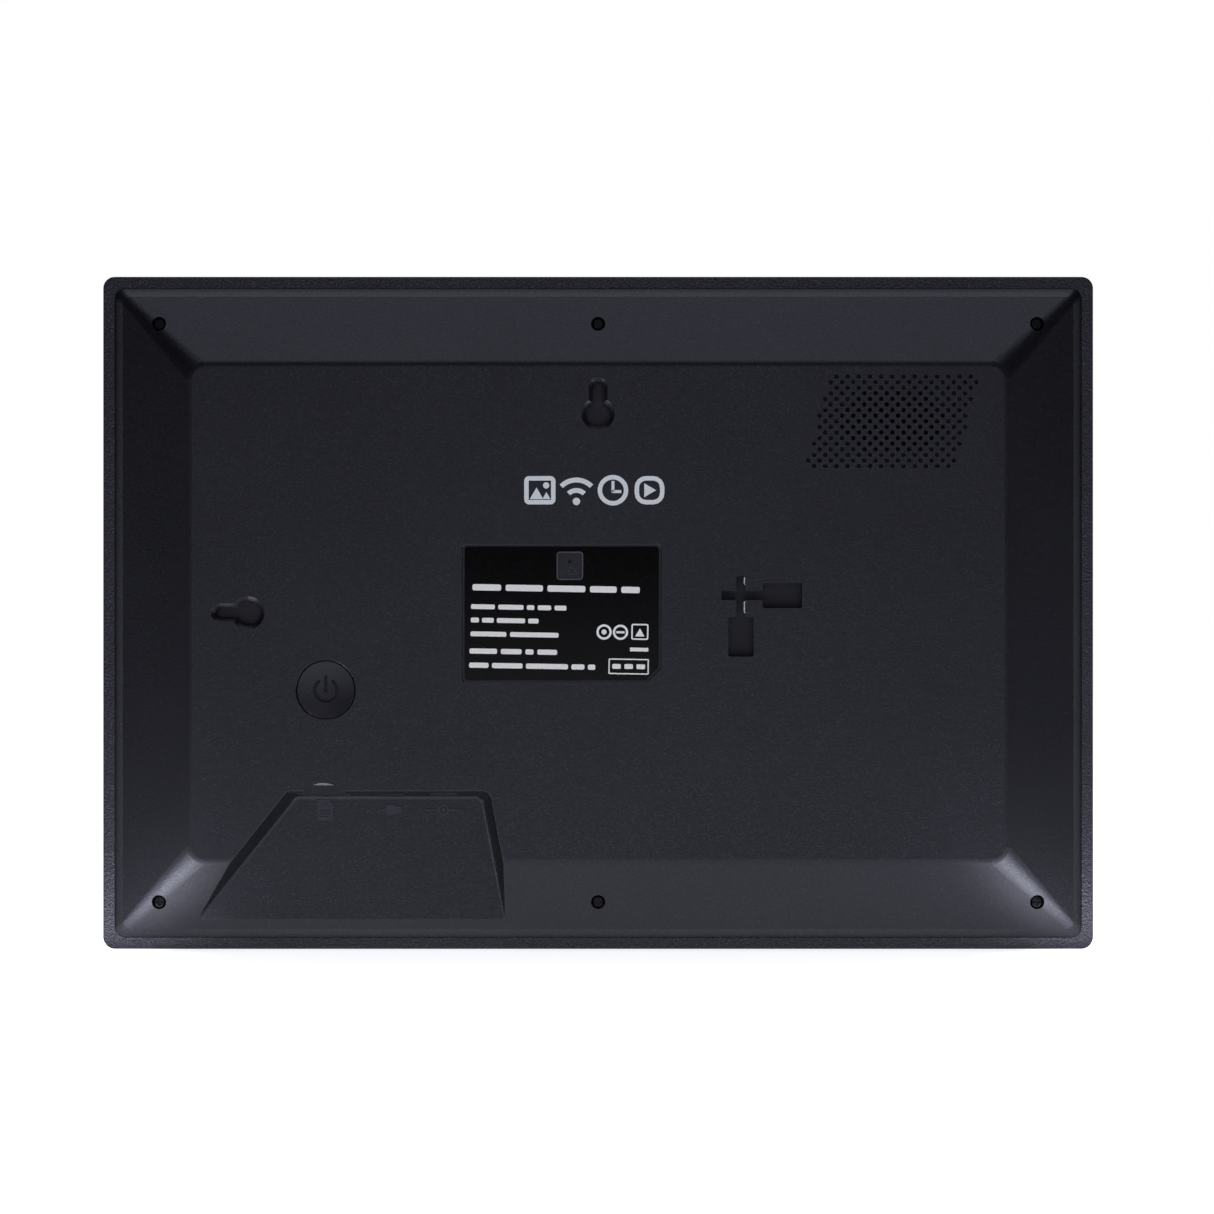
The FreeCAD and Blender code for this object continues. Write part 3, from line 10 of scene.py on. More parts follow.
import bpy
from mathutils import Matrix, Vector


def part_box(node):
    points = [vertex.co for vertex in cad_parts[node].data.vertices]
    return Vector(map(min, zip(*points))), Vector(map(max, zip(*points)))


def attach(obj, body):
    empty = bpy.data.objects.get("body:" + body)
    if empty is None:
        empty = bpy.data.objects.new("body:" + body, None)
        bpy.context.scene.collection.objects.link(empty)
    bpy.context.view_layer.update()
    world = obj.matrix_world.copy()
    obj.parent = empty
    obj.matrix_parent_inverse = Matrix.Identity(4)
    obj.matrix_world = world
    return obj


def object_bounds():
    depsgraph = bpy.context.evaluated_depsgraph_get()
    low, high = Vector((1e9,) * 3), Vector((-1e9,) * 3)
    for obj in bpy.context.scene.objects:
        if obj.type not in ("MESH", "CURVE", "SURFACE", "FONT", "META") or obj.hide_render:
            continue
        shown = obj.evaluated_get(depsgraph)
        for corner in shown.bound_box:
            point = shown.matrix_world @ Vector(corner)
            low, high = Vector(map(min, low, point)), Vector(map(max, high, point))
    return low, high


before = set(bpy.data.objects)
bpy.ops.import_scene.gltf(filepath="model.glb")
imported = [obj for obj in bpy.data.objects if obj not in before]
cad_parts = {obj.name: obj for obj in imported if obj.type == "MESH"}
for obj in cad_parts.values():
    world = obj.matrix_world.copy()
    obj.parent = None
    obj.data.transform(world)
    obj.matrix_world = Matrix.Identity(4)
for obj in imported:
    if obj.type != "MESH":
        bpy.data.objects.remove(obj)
cad_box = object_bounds()
MM = 0.001
low, high = cad_box
width, depth, height = (high[i] - low[i] for i in range(3))
back = high[1]
middle_z = (low[2] + high[2]) / 2
print("frame is", round(width / MM), "x", round(height / MM), "x", round(depth / MM), "mm")


def middle_of(node):
    """Middle of a CAD node's box, in millimetres."""
    first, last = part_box(node)
    return (Vector(first) + Vector(last)) / 2 / MM


# %% [markdown]
# ## One helper for colour, one for nodes
# Paint charts and screens give colours as sRGB hex values, but Blender's shaders add up light, so
# they want linear numbers. The first function makes that change once, for every material.
#
# A shader tree could be wired by hand in the Shader Editor. In a script the same few lines come
# back for every node, so one small function adds a node, changes its settings, and then sets or
# links its sockets. A socket that is given another node's output is linked, and anything else is
# typed in as a value.


# %% Colour and node helpers
def linear(code):
    """sRGB hex colour as the linear RGBA that a shader wants."""
    channels = [int(code[i : i + 2], 16) / 255 for i in (1, 3, 5)]
    return [c / 12.92 if c <= 0.04045 else ((c + 0.055) / 1.055) ** 2.4 for c in channels] + [1.0]


def add(tree, kind, sockets, **settings):
    """Adds one node with its settings, and sets or links the sockets that are named."""
    node = tree.nodes.new(kind)
    for name, value in settings.items():
        setattr(node, name, value)
    for name, value in sockets.items():
        if isinstance(value, bpy.types.NodeSocket):
            tree.links.new(value, node.inputs[name])
        else:
            node.inputs[name].default_value = value
    return node


def start_material(name):
    """An empty material with its tree, its Principled shader and its Object coordinates."""
    material = bpy.data.materials.new(name)
    material.use_nodes = True
    tree = material.node_tree
    shader = tree.nodes["Principled BSDF"]
    place = add(tree, "ShaderNodeTexCoord", {}).outputs["Object"]
    return material, tree, shader, place


def dress(material, *names):
    """Puts a material on CAD nodes, whose meshes stay as they are."""
    for name in names:
        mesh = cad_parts[name].data
        mesh.materials.clear()
        mesh.materials.append(material)


# %% [markdown]
# ## The room: a light table
# A black object is usually photographed on a sheet of opal acrylic that is lit from below. It gives
# a pure white ground with hardly any shadow, and it lights the underside of every edge. A white
# plane with strong lamps over it would do the same only with harsh shadows. Here one large plane
# glows by itself. The glow fades out in front and to the sides, where it would fill in the dark
# flanks of the frame. Two small spots in front of the lower corners glow more strongly, and the
# rounded corners between the slopes reflect them as bright stripes.

# %% Glowing floor
def clear_selection():
    bpy.ops.object.select_all(action="DESELECT")


FLOOR_HALF = 4.0
FLOOR_DROP = 0.0002
FRONT_GLOW = 0.85
FADED_GLOW = 0.2
SPOT_PLACE = (0.132, 0.03, 0.0)
SPOT_RADIUS = 0.034
SPOT_GLOW = 11.0
clear_selection()
bpy.ops.mesh.primitive_plane_add(size=2 * FLOOR_HALF, location=(0, 0, low[2] - FLOOR_DROP))
floor = bpy.context.object
floor.name = "light_table"
bpy.ops.object.transform_apply(location=True)

opal, tree, shader, place = start_material("opal_acrylic_lit_from_below")
axes = add(tree, "ShaderNodeSeparateXYZ", {"Vector": place})
aside = add(tree, "ShaderNodeMath", {0: axes.outputs["X"]}, operation="ABSOLUTE")
aside = add(
    tree, "ShaderNodeMapRange", {"Value": aside.outputs[0], "From Min": 0.17, "From Max": 0.32},
    interpolation_type="SMOOTHSTEP",
)
far = add(
    tree, "ShaderNodeMapRange", {"Value": axes.outputs["Y"], "From Min": 0.65, "From Max": 1.0},
    interpolation_type="SMOOTHSTEP",
)
beyond = add(
    tree, "ShaderNodeMath", {0: aside.outputs["Result"], 1: far.outputs["Result"]},
    operation="MAXIMUM",
)
ahead = add(
    tree, "ShaderNodeMapRange", {"Value": axes.outputs["Y"], "From Min": -0.06, "From Max": 0.03},
    interpolation_type="SMOOTHSTEP",
)
fade = add(tree, "ShaderNodeMath", {0: beyond.outputs[0], 1: ahead.outputs["Result"]}, operation="MULTIPLY")
near_glow = add(
    tree, "ShaderNodeMapRange",
    {"Value": ahead.outputs["Result"], "To Min": 1.0, "To Max": FRONT_GLOW},
)
glow = add(
    tree, "ShaderNodeMapRange",
    {"Value": fade.outputs[0], "To Min": near_glow.outputs["Result"], "To Max": FADED_GLOW},
)
mirrored = add(tree, "ShaderNodeVectorMath", {0: place}, operation="ABSOLUTE")
spot_away = add(
    tree, "ShaderNodeVectorMath", {0: mirrored.outputs["Vector"], 1: SPOT_PLACE}, operation="DISTANCE",
)
spot = add(
    tree, "ShaderNodeMapRange",
    {"Value": spot_away.outputs["Value"], "From Min": SPOT_RADIUS, "From Max": 0.0, "To Max": SPOT_GLOW},
    interpolation_type="SMOOTHSTEP",
)
in_front = add(
    tree, "ShaderNodeMath", {0: spot.outputs["Result"], 1: ahead.outputs["Result"]},
    operation="MULTIPLY",
)
total = add(tree, "ShaderNodeMath", {0: glow.outputs["Result"], 1: in_front.outputs[0]}, operation="ADD")
cloud = add(tree, "ShaderNodeTexNoise", {"Vector": place, "Scale": 3.0, "Detail": 2.0})
tint = add(
    tree, "ShaderNodeMixRGB",
    {"Fac": cloud.outputs["Fac"], "Color1": linear("#F4F5F8"), "Color2": linear("#FAFBFD")},
)
tree.links.new(tint.outputs["Color"], shader.inputs["Base Color"])
tree.links.new(tint.outputs["Color"], shader.inputs["Emission Color"])
tree.links.new(total.outputs[0], shader.inputs["Emission Strength"])
shader.inputs["Roughness"].default_value = 0.8
floor.data.materials.append(opal)

# %% [markdown]
# ## Camera
# The back is photographed straight on with a long lens, which keeps its edges parallel. A nearer
# camera with a short lens would show the same width, but would swell the middle. The camera stands
# a few millimetres off the middle, as a hand-set tripod does.

# %% Camera straight behind the frame
CAMERA_DISTANCE = 1.4
CAMERA_ASIDE = -2.4 * MM
CAMERA_UP = 1.6 * MM
VIEW_WIDTH = 0.3285
SENSOR_WIDTH = 36
RIM_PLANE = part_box("front_frame")[1].y
bpy.ops.object.camera_add(
    location=(CAMERA_ASIDE, RIM_PLANE + CAMERA_DISTANCE, middle_z + CAMERA_UP),
    rotation=(math.radians(90), 0, math.radians(180)),
)
camera = bpy.context.object
camera.name = "back_camera"
camera.data.sensor_width = SENSOR_WIDTH
camera.data.lens = SENSOR_WIDTH * CAMERA_DISTANCE / VIEW_WIDTH
camera.data.clip_end = 20
bpy.context.scene.camera = camera
print("lens", round(camera.data.lens, 1), "mm")

# %% [markdown]
# ## Light
# Black plastic has almost no colour of its own, so what it shows is a soft reflection of the room.
# One lamp over the camera would give a single hot spot. Long soft boxes above light the upper
# slope, the light table lights the lower one, and the two sides are left nearly dark, which gives
# the box its shape. Two cards near the camera light the flat back, the low one its lower half.


# %% Soft boxes
LAMP_COLOUR = "#F4F5FF"


def soft_box(name, place, aim, size, power):
    """Rectangular lamp that faces a point."""
    lamp = bpy.data.lights.new(name, "AREA")
    lamp.shape = "RECTANGLE"
    lamp.size, lamp.size_y = size
    lamp.energy = power
    lamp.color = linear(LAMP_COLOUR)[:3]
    holder = bpy.data.objects.new(name, lamp)
    holder.location = place
    holder.rotation_euler = (Vector(aim) - Vector(place)).to_track_quat("-Z", "Y").to_euler()
    bpy.context.scene.collection.objects.link(holder)


centre = (0, 0, middle_z)
soft_box("ceiling_box", (0, -0.1, 1.0), (0, -0.1, 0), (1.0, 0.7), 2.4)
soft_box("front_ceiling_box", (0, 0.45, 1.0), centre, (1.0, 0.4), 1.2)
soft_box("high_card", (0, 1.7, 0.5), centre, (0.5, 0.3), 0.62)
soft_box("low_card", (0, 1.32, 0.035), (0, 0, 0.06), (0.5, 0.06), 0.17)
for side in (-1, 1):
    soft_box("side_strip", (0.8 * side, -0.12, 0.12), (0, -0.02, 0.1), (0.3, 0.4), 0.05)

# %% [markdown]
# The world fills in what the lamps leave out. Seen by the camera it is plain white. As a light it
# only shines from behind the frame, on the side where the screen is, so the back stays dark.

# %% World
world = bpy.data.worlds.new("studio")
bpy.context.scene.world = world
world.use_nodes = True
sky = world.node_tree
direction = add(sky, "ShaderNodeTexCoord", {}).outputs["Generated"]
sky_axes = add(sky, "ShaderNodeSeparateXYZ", {"Vector": direction})
dome = add(
    sky, "ShaderNodeMapRange",
    {"Value": sky_axes.outputs["Y"], "From Min": -1.0, "From Max": 0.0, "To Min": 0.55, "To Max": 0.01},
)
light = add(sky, "ShaderNodeBackground", {"Color": linear("#E9ECF6"), "Strength": dome.outputs["Result"]})
seen = add(sky, "ShaderNodeBackground", {"Color": linear("#FFFFFF"), "Strength": 1.0})
ray = add(sky, "ShaderNodeLightPath", {})
both = add(
    sky, "ShaderNodeMixShader",
    {0: ray.outputs["Is Camera Ray"], 1: light.outputs[0], 2: seen.outputs[0]},
)
sky.links.new(both.outputs[0], sky.nodes["World Output"].inputs["Surface"])
bpy.context.scene.view_settings.view_transform = "Standard"

# %% [markdown]
# ## Moulded plastic
# The shells are black ABS, injection moulded in a steel tool whose walls were spark eroded. The
# tool's tiny craters print a fine grain on the plastic, which breaks reflections into a soft sheen
# with small sparkles. A photograph of the grain would need an image, and would repeat. Two noises
# are enough: a fine one drives the bump and lets a few grains be shinier than the rest, and a wide
# one gives the faint clouding that flow leaves in the plastic. The shiniest grains are also given a
# lighter colour, which is a painted sparkle on top of the real gloss.


# %% Moulded plastic as a material
PLASTIC_IOR = 1.5


def moulded_plastic(name, colour, sparkle_and_cloud_tone, grain, lift, rough, gleam=0.1, shine=0.45):
    """Opaque moulded plastic. grain is the size of a crater, and lift its depth, in millimetres. The second
    colour tints the real flow clouding and paints a sparkle onto the highest grains.
    """
    material, tree, shader, place = start_material(name)
    crater = add(
        tree, "ShaderNodeTexNoise",
        {"Vector": place, "Scale": 1 / (grain * MM), "Detail": 2.0, "Roughness": 0.6},
    )
    flow = add(tree, "ShaderNodeTexNoise", {"Vector": place, "Scale": 28.0, "Detail": 2.0})
    # painted sparkle: the highest crater tops get a lighter colour, a painted highlight
    painted_sparkle = add(
        tree, "ShaderNodeMapRange",
        {"Value": crater.outputs["Fac"], "From Min": 0.54, "From Max": 0.74},
    )
    cloud = add(tree, "ShaderNodeMath", {0: flow.outputs["Fac"], 1: 0.3}, operation="MULTIPLY")
    both = add(
        tree, "ShaderNodeMath", {0: painted_sparkle.outputs["Result"], 1: cloud.outputs[0]}, operation="ADD",
        use_clamp=True,
    )
    # the lighter colour comes partly from the painted sparkle and partly from the real flow clouding
    tone = add(
        tree, "ShaderNodeMixRGB",
        {"Fac": both.outputs[0], "Color1": linear(colour), "Color2": linear(sparkle_and_cloud_tone)},
    )
    gloss = add(
        tree, "ShaderNodeMapRange",
        {"Value": crater.outputs["Fac"], "From Min": 0.3, "From Max": 0.7,
         "To Min": rough, "To Max": rough - gleam},
    )
    bump = add(
        tree, "ShaderNodeBump",
        {"Height": crater.outputs["Fac"], "Distance": lift * MM, "Strength": 1.0},
    )
    tree.links.new(tone.outputs["Color"], shader.inputs["Base Color"])
    tree.links.new(gloss.outputs["Result"], shader.inputs["Roughness"])
    tree.links.new(bump.outputs["Normal"], shader.inputs["Normal"])
    shader.inputs["IOR"].default_value = PLASTIC_IOR
    shader.inputs["Specular IOR Level"].default_value = shine
    shader.inputs["Specular Tint"].default_value = linear("#EAEBFF")
    return material


# %% [markdown]
# The front shell has the coarsest and deepest grain, about 0.55 mm, and it sparkles; its brightest
# grains are a painted sparkle. The cover's grain is shallower, the button's is finer, and the stand
# socket is left as the plain tool gives it.

# %% Black shells
dress(
    moulded_plastic("rim_abs_coarse_spark_grain", "#17171B", "#44444F", 0.55, 0.2, 0.42, gleam=0.24),
    "front_frame",
)
cover_plastic = moulded_plastic(
    "cover_abs_fine_spark_grain", "#0B0B0E", "#2A2A31", 0.45, 0.045, 0.42, gleam=0.18,
)
button_plastic = moulded_plastic("button_abs_satin", "#0E0E11", "#17171A", 0.25, 0.008, 0.36)
dress(cover_plastic, "rear_cover")
dress(button_plastic, "power_button")
dress(moulded_plastic("socket_abs_plain", "#0B0B0D", "#131315", 0.3, 0.008, 0.45), "stand_socket")
dress(
    moulded_plastic("connector_lcp_white", "#E4E1D6", "#F1EFE8", 0.2, 0.004, 0.5), "speaker_plug",
    "display_connector", "touch_connector", "antenna_plug",
)
dress(
    moulded_plastic("connector_pbt_black", "#101011", "#1B1B1C", 0.2, 0.004, 0.45), "dc_jack",
    "usb_tongue", "power_switch", "reset_switch",
)
dress(
    moulded_plastic("plunger_pom_white", "#D9D6CC", "#E8E5DD", 0.2, 0.003, 0.4), "power_plunger",
    "reset_plunger",
)
dress(
    moulded_plastic("chip_epoxy_sanded", "#151516", "#202022", 0.12, 0.006, 0.55), "processor",
    "memory_chips", "storage_chip",
)
dress(
    moulded_plastic("foam_polyethylene_cells", "#121213", "#1E1E20", 0.4, 0.08, 0.85, gleam=0.02, shine=0.3),
    "speaker_gasket", "glass_tape",
)
dress(
    moulded_plastic("lead_pvc_sheath", "#1A1A1B", "#262628", 0.3, 0.003, 0.4), "speaker_wires",
    "antenna_lead",
)
dress(moulded_plastic("coil_ferrite_coated", "#2A2B2D", "#3B3C3F", 0.25, 0.01, 0.5), "power_coils")
dress(moulded_plastic("cone_paper_pulp", "#3C3C3E", "#66666A", 0.5, 0.05, 0.75, gleam=0.05), "speaker_cone")

# %% [markdown]
# ## Marks in the moulding
# The power sign is sunk in the button, and small signs stand up beside the sockets and the reset
# hole. The tool has no spark grain where it was engraved, so the signs are smoother. The raised signs
# are also given a lighter colour, a painted highlight, and the sunk one a darker colour, painted
# shade. A second material would need its own faces.
# A mask does it instead: it is 1 inside a box of space and 0 outside, and the box holds nothing but
# the faces of the marks.


# %% Painted light and another gloss inside a box
def painted_light_and_gloss_inside(material, centre, half, colour, rough):
    """Gives the faces inside a box another tone and gloss. The tone is painted light and shade: lighter for
    a highlight, darker for shade. Centre and half size are in millimetres.
    """
    tree = material.node_tree
    shader = tree.nodes["Principled BSDF"]
    place = add(tree, "ShaderNodeTexCoord", {}).outputs["Object"]
    offset = add(tree, "ShaderNodeVectorMath", {0: place, 1: Vector(centre) * MM}, operation="SUBTRACT")
    reach = add(tree, "ShaderNodeVectorMath", {0: offset.outputs[0]}, operation="ABSOLUTE")
    share = add(
        tree, "ShaderNodeVectorMath", {0: reach.outputs[0], 1: Vector(half) * MM}, operation="DIVIDE",
    )
    axes = add(tree, "ShaderNodeSeparateXYZ", {"Vector": share.outputs[0]})
    widest = add(tree, "ShaderNodeMath", {0: axes.outputs["X"], 1: axes.outputs["Y"]}, operation="MAXIMUM")
    widest = add(tree, "ShaderNodeMath", {0: widest.outputs[0], 1: axes.outputs["Z"]}, operation="MAXIMUM")
    inside = add(tree, "ShaderNodeMath", {0: widest.outputs[0], 1: 1.0}, operation="LESS_THAN").outputs[0]
    grained = shader.inputs["Base Color"].links[0].from_socket
    tone = add(tree, "ShaderNodeMixRGB", {"Fac": inside, "Color1": grained, "Color2": linear(colour)})
    dull = shader.inputs["Roughness"].links[0].from_socket
    gloss = add(tree, "ShaderNodeMapRange", {"Value": inside, "To Min": dull, "To Max": rough})
    tree.links.new(tone.outputs["Color"], shader.inputs["Base Color"])
    tree.links.new(gloss.outputs["Result"], shader.inputs["Roughness"])


# a raised sign: its lighter colour is a painted highlight, its lower roughness is real
RAISED_PAINTED_HIGHLIGHT = ("#2A2A30", 0.3)  # colour and roughness of a sign that stands up
# the sunk sign: its darker colour is painted shade, its roughness is real
SUNK_PAINTED_SHADE = ("#030304", 0.6)
BUTTON_SIGN_DEPTH = 0.9  # below the button's edge
button = middle_of("power_button")
button_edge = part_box("power_button")[1].y / MM
sign_floor = (button.x, button_edge - BUTTON_SIGN_DEPTH, button.z)
painted_light_and_gloss_inside(button_plastic, sign_floor, (4.3, 0.25, 4.3), *SUNK_PAINTED_SHADE)

PORT_SIGN_INWARD = 0.8  # from the card socket towards the screen
PORT_SIGN_DROP = 4.9  # below the card socket
card_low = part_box("card_socket")[0] / MM
ports_x = (middle_of("card_socket").x + middle_of("dc_jack").x) / 2
port_signs = (ports_x, card_low.y - PORT_SIGN_INWARD, card_low.z - PORT_SIGN_DROP)
painted_light_and_gloss_inside(cover_plastic, port_signs, (25, 0.28, 4.5), *RAISED_PAINTED_HIGHLIGHT)

RESTART_SHIFT = Vector((-0.45, 0, -2.6))  # from the reset hole
reset_hole = middle_of("reset_plunger")
label_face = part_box("rating_label")[1].y
restart = Vector((reset_hole.x, label_face / MM - 0.03, reset_hole.z)) + RESTART_SHIFT
painted_light_and_gloss_inside(cover_plastic, restart, (1.7, 0.06, 1.7), *RAISED_PAINTED_HIGHLIGHT)
print("button face", round(button_edge, 2), "mm, port signs", round(port_signs[2], 1), "mm up")

# %% [markdown]
# ## Metal
# Screws, shields and springs are steel under a thin finish: black oxide, bright zinc or tin. Metals
# have no colour under their reflection, so metallic is 1 and the base colour is what the
# reflection is tinted with. Rolling and stamping leave fine lines along one direction, which a
# noise stretched by a Mapping node draws.


# %% Finished metal as a material
def finished_metal(name, colour, stain, line, rough, lift=0.002, stretch=(1, 1, 1)):
    """Metal with a finish. line is the spacing of its marks in millimetres."""
    material, tree, shader, place = start_material(name)
    turned = add(tree, "ShaderNodeMapping", {"Vector": place, "Scale": stretch})
    marks = add(
        tree, "ShaderNodeTexNoise",
        {"Vector": turned.outputs["Vector"], "Scale": 1 / (line * MM), "Detail": 3.0},
    )
    tone = add(
        tree, "ShaderNodeMixRGB",
        {"Fac": marks.outputs["Fac"], "Color1": linear(colour), "Color2": linear(stain)},
    )
    gloss = add(
        tree, "ShaderNodeMapRange",
        {"Value": marks.outputs["Fac"], "From Min": 0.3, "From Max": 0.7,
         "To Min": rough * 1.2, "To Max": rough * 0.8},
    )
    bump = add(
        tree, "ShaderNodeBump",
        {"Height": marks.outputs["Fac"], "Distance": lift * MM, "Strength": 1.0},
    )
    tree.links.new(tone.outputs["Color"], shader.inputs["Base Color"])
    tree.links.new(gloss.outputs["Result"], shader.inputs["Roughness"])
    tree.links.new(bump.outputs["Normal"], shader.inputs["Normal"])
    shader.inputs["Metallic"].default_value = 1.0
    return material


# %% Metal parts
dress(finished_metal("screw_steel_black_oxide", "#141416", "#2E2E31", 0.3, 0.3, lift=0.004), "cover_screws")
dress(
    finished_metal("screw_steel_bright_zinc", "#B9BDC4", "#D8DBE0", 0.3, 0.28), "bracket_screws",
    "board_screws", "speaker_screws", "socket_screws",
)
dress(finished_metal("tray_steel_galvanised", "#A9ADB1", "#C9CCD0", 6.0, 0.38, lift=0.003), "lcd_tray")
dress(
    finished_metal("bracket_steel_pressed", "#9EA2A6", "#BDC0C4", 0.5, 0.35, stretch=(1, 1, 0.1)),
    "lcd_brackets",
)
dress(
    finished_metal("shield_steel_tinned", "#B4B7BB", "#CDD0D3", 0.6, 0.3, stretch=(0.15, 1, 1)),
    "wifi_shield",
)
dress(
    finished_metal("shell_steel_nickelled", "#7F868F", "#A0A6AE", 0.4, 0.32, stretch=(0.1, 1, 1)),
    "card_socket", "usb_socket",
)
dress(finished_metal("basket_steel_phosphated", "#3A3B3D", "#4C4D50", 0.4, 0.5), "speaker_frame")
dress(finished_metal("magnet_nickel_barrelled", "#B0AEA8", "#CBC9C3", 0.8, 0.25), "speaker_magnet")
dress(
    finished_metal("spring_steel_bright", "#C9CDD3", "#E9EBEE", 0.5, 0.22, stretch=(1, 1, 0.1)),
    "stand_spring",
)
dress(
    finished_metal("standoff_brass_turned", "#B8924A", "#D5B36C", 0.3, 0.3, stretch=(0.1, 1, 0.1)),
    "board_standoffs",
)
dress(finished_metal("pin_brass_nickelled", "#BDBBB4", "#D6D4CE", 0.2, 0.22), "dc_pin")
dress(finished_metal("can_aluminium_sleeve", "#A3A7AB", "#C3C6C9", 0.5, 0.32), "capacitors")

# %% [markdown]
# ## Screen stack
# Behind the front frame lie a touch glass, clear glue, the liquid crystal cell and the sheets that
# spread the light. Glass and acrylic let light through, so transmission is 1 and the base colour
# only tints it. The glass has a black ink border on its back, which the same shader gives: where a
# mask read from the object's own coordinates is dark, nothing passes.


# %% Clear sheets
def clear_sheet(name, colour, ior, rough, dust="#DADCDE"):
    """Sheet that light passes through, with faint unevenness from casting or coating."""
    material, tree, shader, place = start_material(name)
    wave = add(tree, "ShaderNodeTexNoise", {"Vector": place, "Scale": 90.0, "Detail": 2.0})
    tone = add(
        tree, "ShaderNodeMixRGB",
        {"Fac": wave.outputs["Fac"], "Color1": linear(colour), "Color2": linear(dust)},
    )
    gloss = add(
        tree, "ShaderNodeMapRange",
        {"Value": wave.outputs["Fac"], "To Min": rough, "To Max": rough * 1.6},
    )
    tree.links.new(tone.outputs["Color"], shader.inputs["Base Color"])
    tree.links.new(gloss.outputs["Result"], shader.inputs["Roughness"])
    shader.inputs["Transmission Weight"].default_value = 1.0
    shader.inputs["IOR"].default_value = ior
    return material, tree, shader, place, tone


ACTIVE_HALF = (108.5 * MM, 67.8 * MM)
glass, tree, shader, place, tone = clear_sheet(
    "touch_glass_float_ink_edge", "#F2F6F5", 1.52, 0.02, "#FAFCFB",
)
axes = add(tree, "ShaderNodeSeparateXYZ", {"Vector": place})
across = add(tree, "ShaderNodeMath", {0: axes.outputs["X"]}, operation="ABSOLUTE")
up = add(tree, "ShaderNodeMath", {0: axes.outputs["Z"], 1: middle_z}, operation="SUBTRACT")
up = add(tree, "ShaderNodeMath", {0: up.outputs[0]}, operation="ABSOLUTE")
inside_x = add(tree, "ShaderNodeMath", {0: across.outputs[0], 1: ACTIVE_HALF[0]}, operation="LESS_THAN")
inside_z = add(tree, "ShaderNodeMath", {0: up.outputs[0], 1: ACTIVE_HALF[1]}, operation="LESS_THAN")
window = add(tree, "ShaderNodeMath", {0: inside_x.outputs[0], 1: inside_z.outputs[0]}, operation="MULTIPLY")
inked = add(
    tree, "ShaderNodeMixRGB",
    {"Fac": window.outputs[0], "Color1": linear("#020202"), "Color2": tone.outputs["Color"]},
)
tree.links.new(inked.outputs["Color"], shader.inputs["Base Color"])
dress(glass, "touch_glass")
dress(clear_sheet("adhesive_silicone_clear", "#F4F5F4", 1.41, 0.04, "#FBFBFB")[0], "glass_adhesive")
dress(clear_sheet("guide_acrylic_polished", "#EEF4F2", 1.49, 0.03)[0], "light_guide")

# %% [markdown]
# ## Films, laminate and lamps
# The rest of the stack is opaque or milky. Each has a regular pattern of its own: the cell's fine
# columns, the board's copper tracks under green lacquer, the flex's parallel lines. A Wave texture
# draws stripes at a real spacing, and one function serves all of them.


# %% Striped sheets
WAVE_SCALE = 0.314  # a Wave texture of this scale has one stripe in each unit of length


def striped_sheet(name, colour, line, pitch, rough, axis="X", coat=0.0, ior=1.5):
    """Sheet with parallel lines. pitch is the distance between lines in millimetres."""
    material, tree, shader, place = start_material(name)
    wave = add(
        tree, "ShaderNodeTexWave", {"Vector": place, "Scale": WAVE_SCALE / (pitch * MM)},
        bands_direction=axis,
    )
    dust = add(tree, "ShaderNodeTexNoise", {"Vector": place, "Scale": 700.0, "Detail": 2.0})
    blur = add(
        tree, "ShaderNodeMath", {0: wave.outputs["Fac"], 1: dust.outputs["Fac"]}, operation="MULTIPLY",
    )
    tone = add(
        tree, "ShaderNodeMixRGB",
        {"Fac": blur.outputs[0], "Color1": linear(colour), "Color2": linear(line)},
    )
    gloss = add(
        tree, "ShaderNodeMapRange",
        {"Value": dust.outputs["Fac"], "To Min": rough * 0.8, "To Max": rough * 1.2},
    )
    tree.links.new(tone.outputs["Color"], shader.inputs["Base Color"])
    tree.links.new(gloss.outputs["Result"], shader.inputs["Roughness"])
    shader.inputs["Coat Weight"].default_value = coat
    shader.inputs["IOR"].default_value = ior
    return material


dress(striped_sheet("cell_glass_polarised", "#050607", "#0B0C10", 0.34, 0.08, ior=1.52), "lcd_cell")
dress(
    striped_sheet("diffuser_polyester_milky", "#E3E5E8", "#EDEFF1", 0.3, 0.55, axis="Z"),
    "diffuser_sheet",
)
dress(
    striped_sheet("reflector_polyester_white", "#EFF0F2", "#F8F8FA", 2.0, 0.3, axis="Z"),
    "reflector_sheet",
)
dress(striped_sheet("lamp_strip_white_solder_mask", "#DDDDD4", "#C9A65B", 9.0, 0.45, coat=0.2), "led_strip")
dress(striped_sheet("lamp_phosphor_yellow", "#E8D25A", "#F3E9A6", 1.5, 0.5), "leds")
dress(
    striped_sheet("flex_polyimide_amber", "#A8641A", "#D08B33", 0.5, 0.25, coat=0.3), "display_flex",
    "touch_flex",
)
dress(striped_sheet("antenna_flex_copper_print", "#1B1A18", "#B06E33", 3.0, 0.35, axis="Z"), "antenna")
dress(striped_sheet("wifi_module_blue_lacquer", "#12305C", "#1E4A86", 0.9, 0.35, coat=0.4), "wifi_module")

# %% [markdown]
# The main board is glass fibre laminate with copper tracks under a green lacquer. Tracks run at
# right angles, which a Voronoi texture measured in square steps suggests well enough for a part
# that lies inside the case.

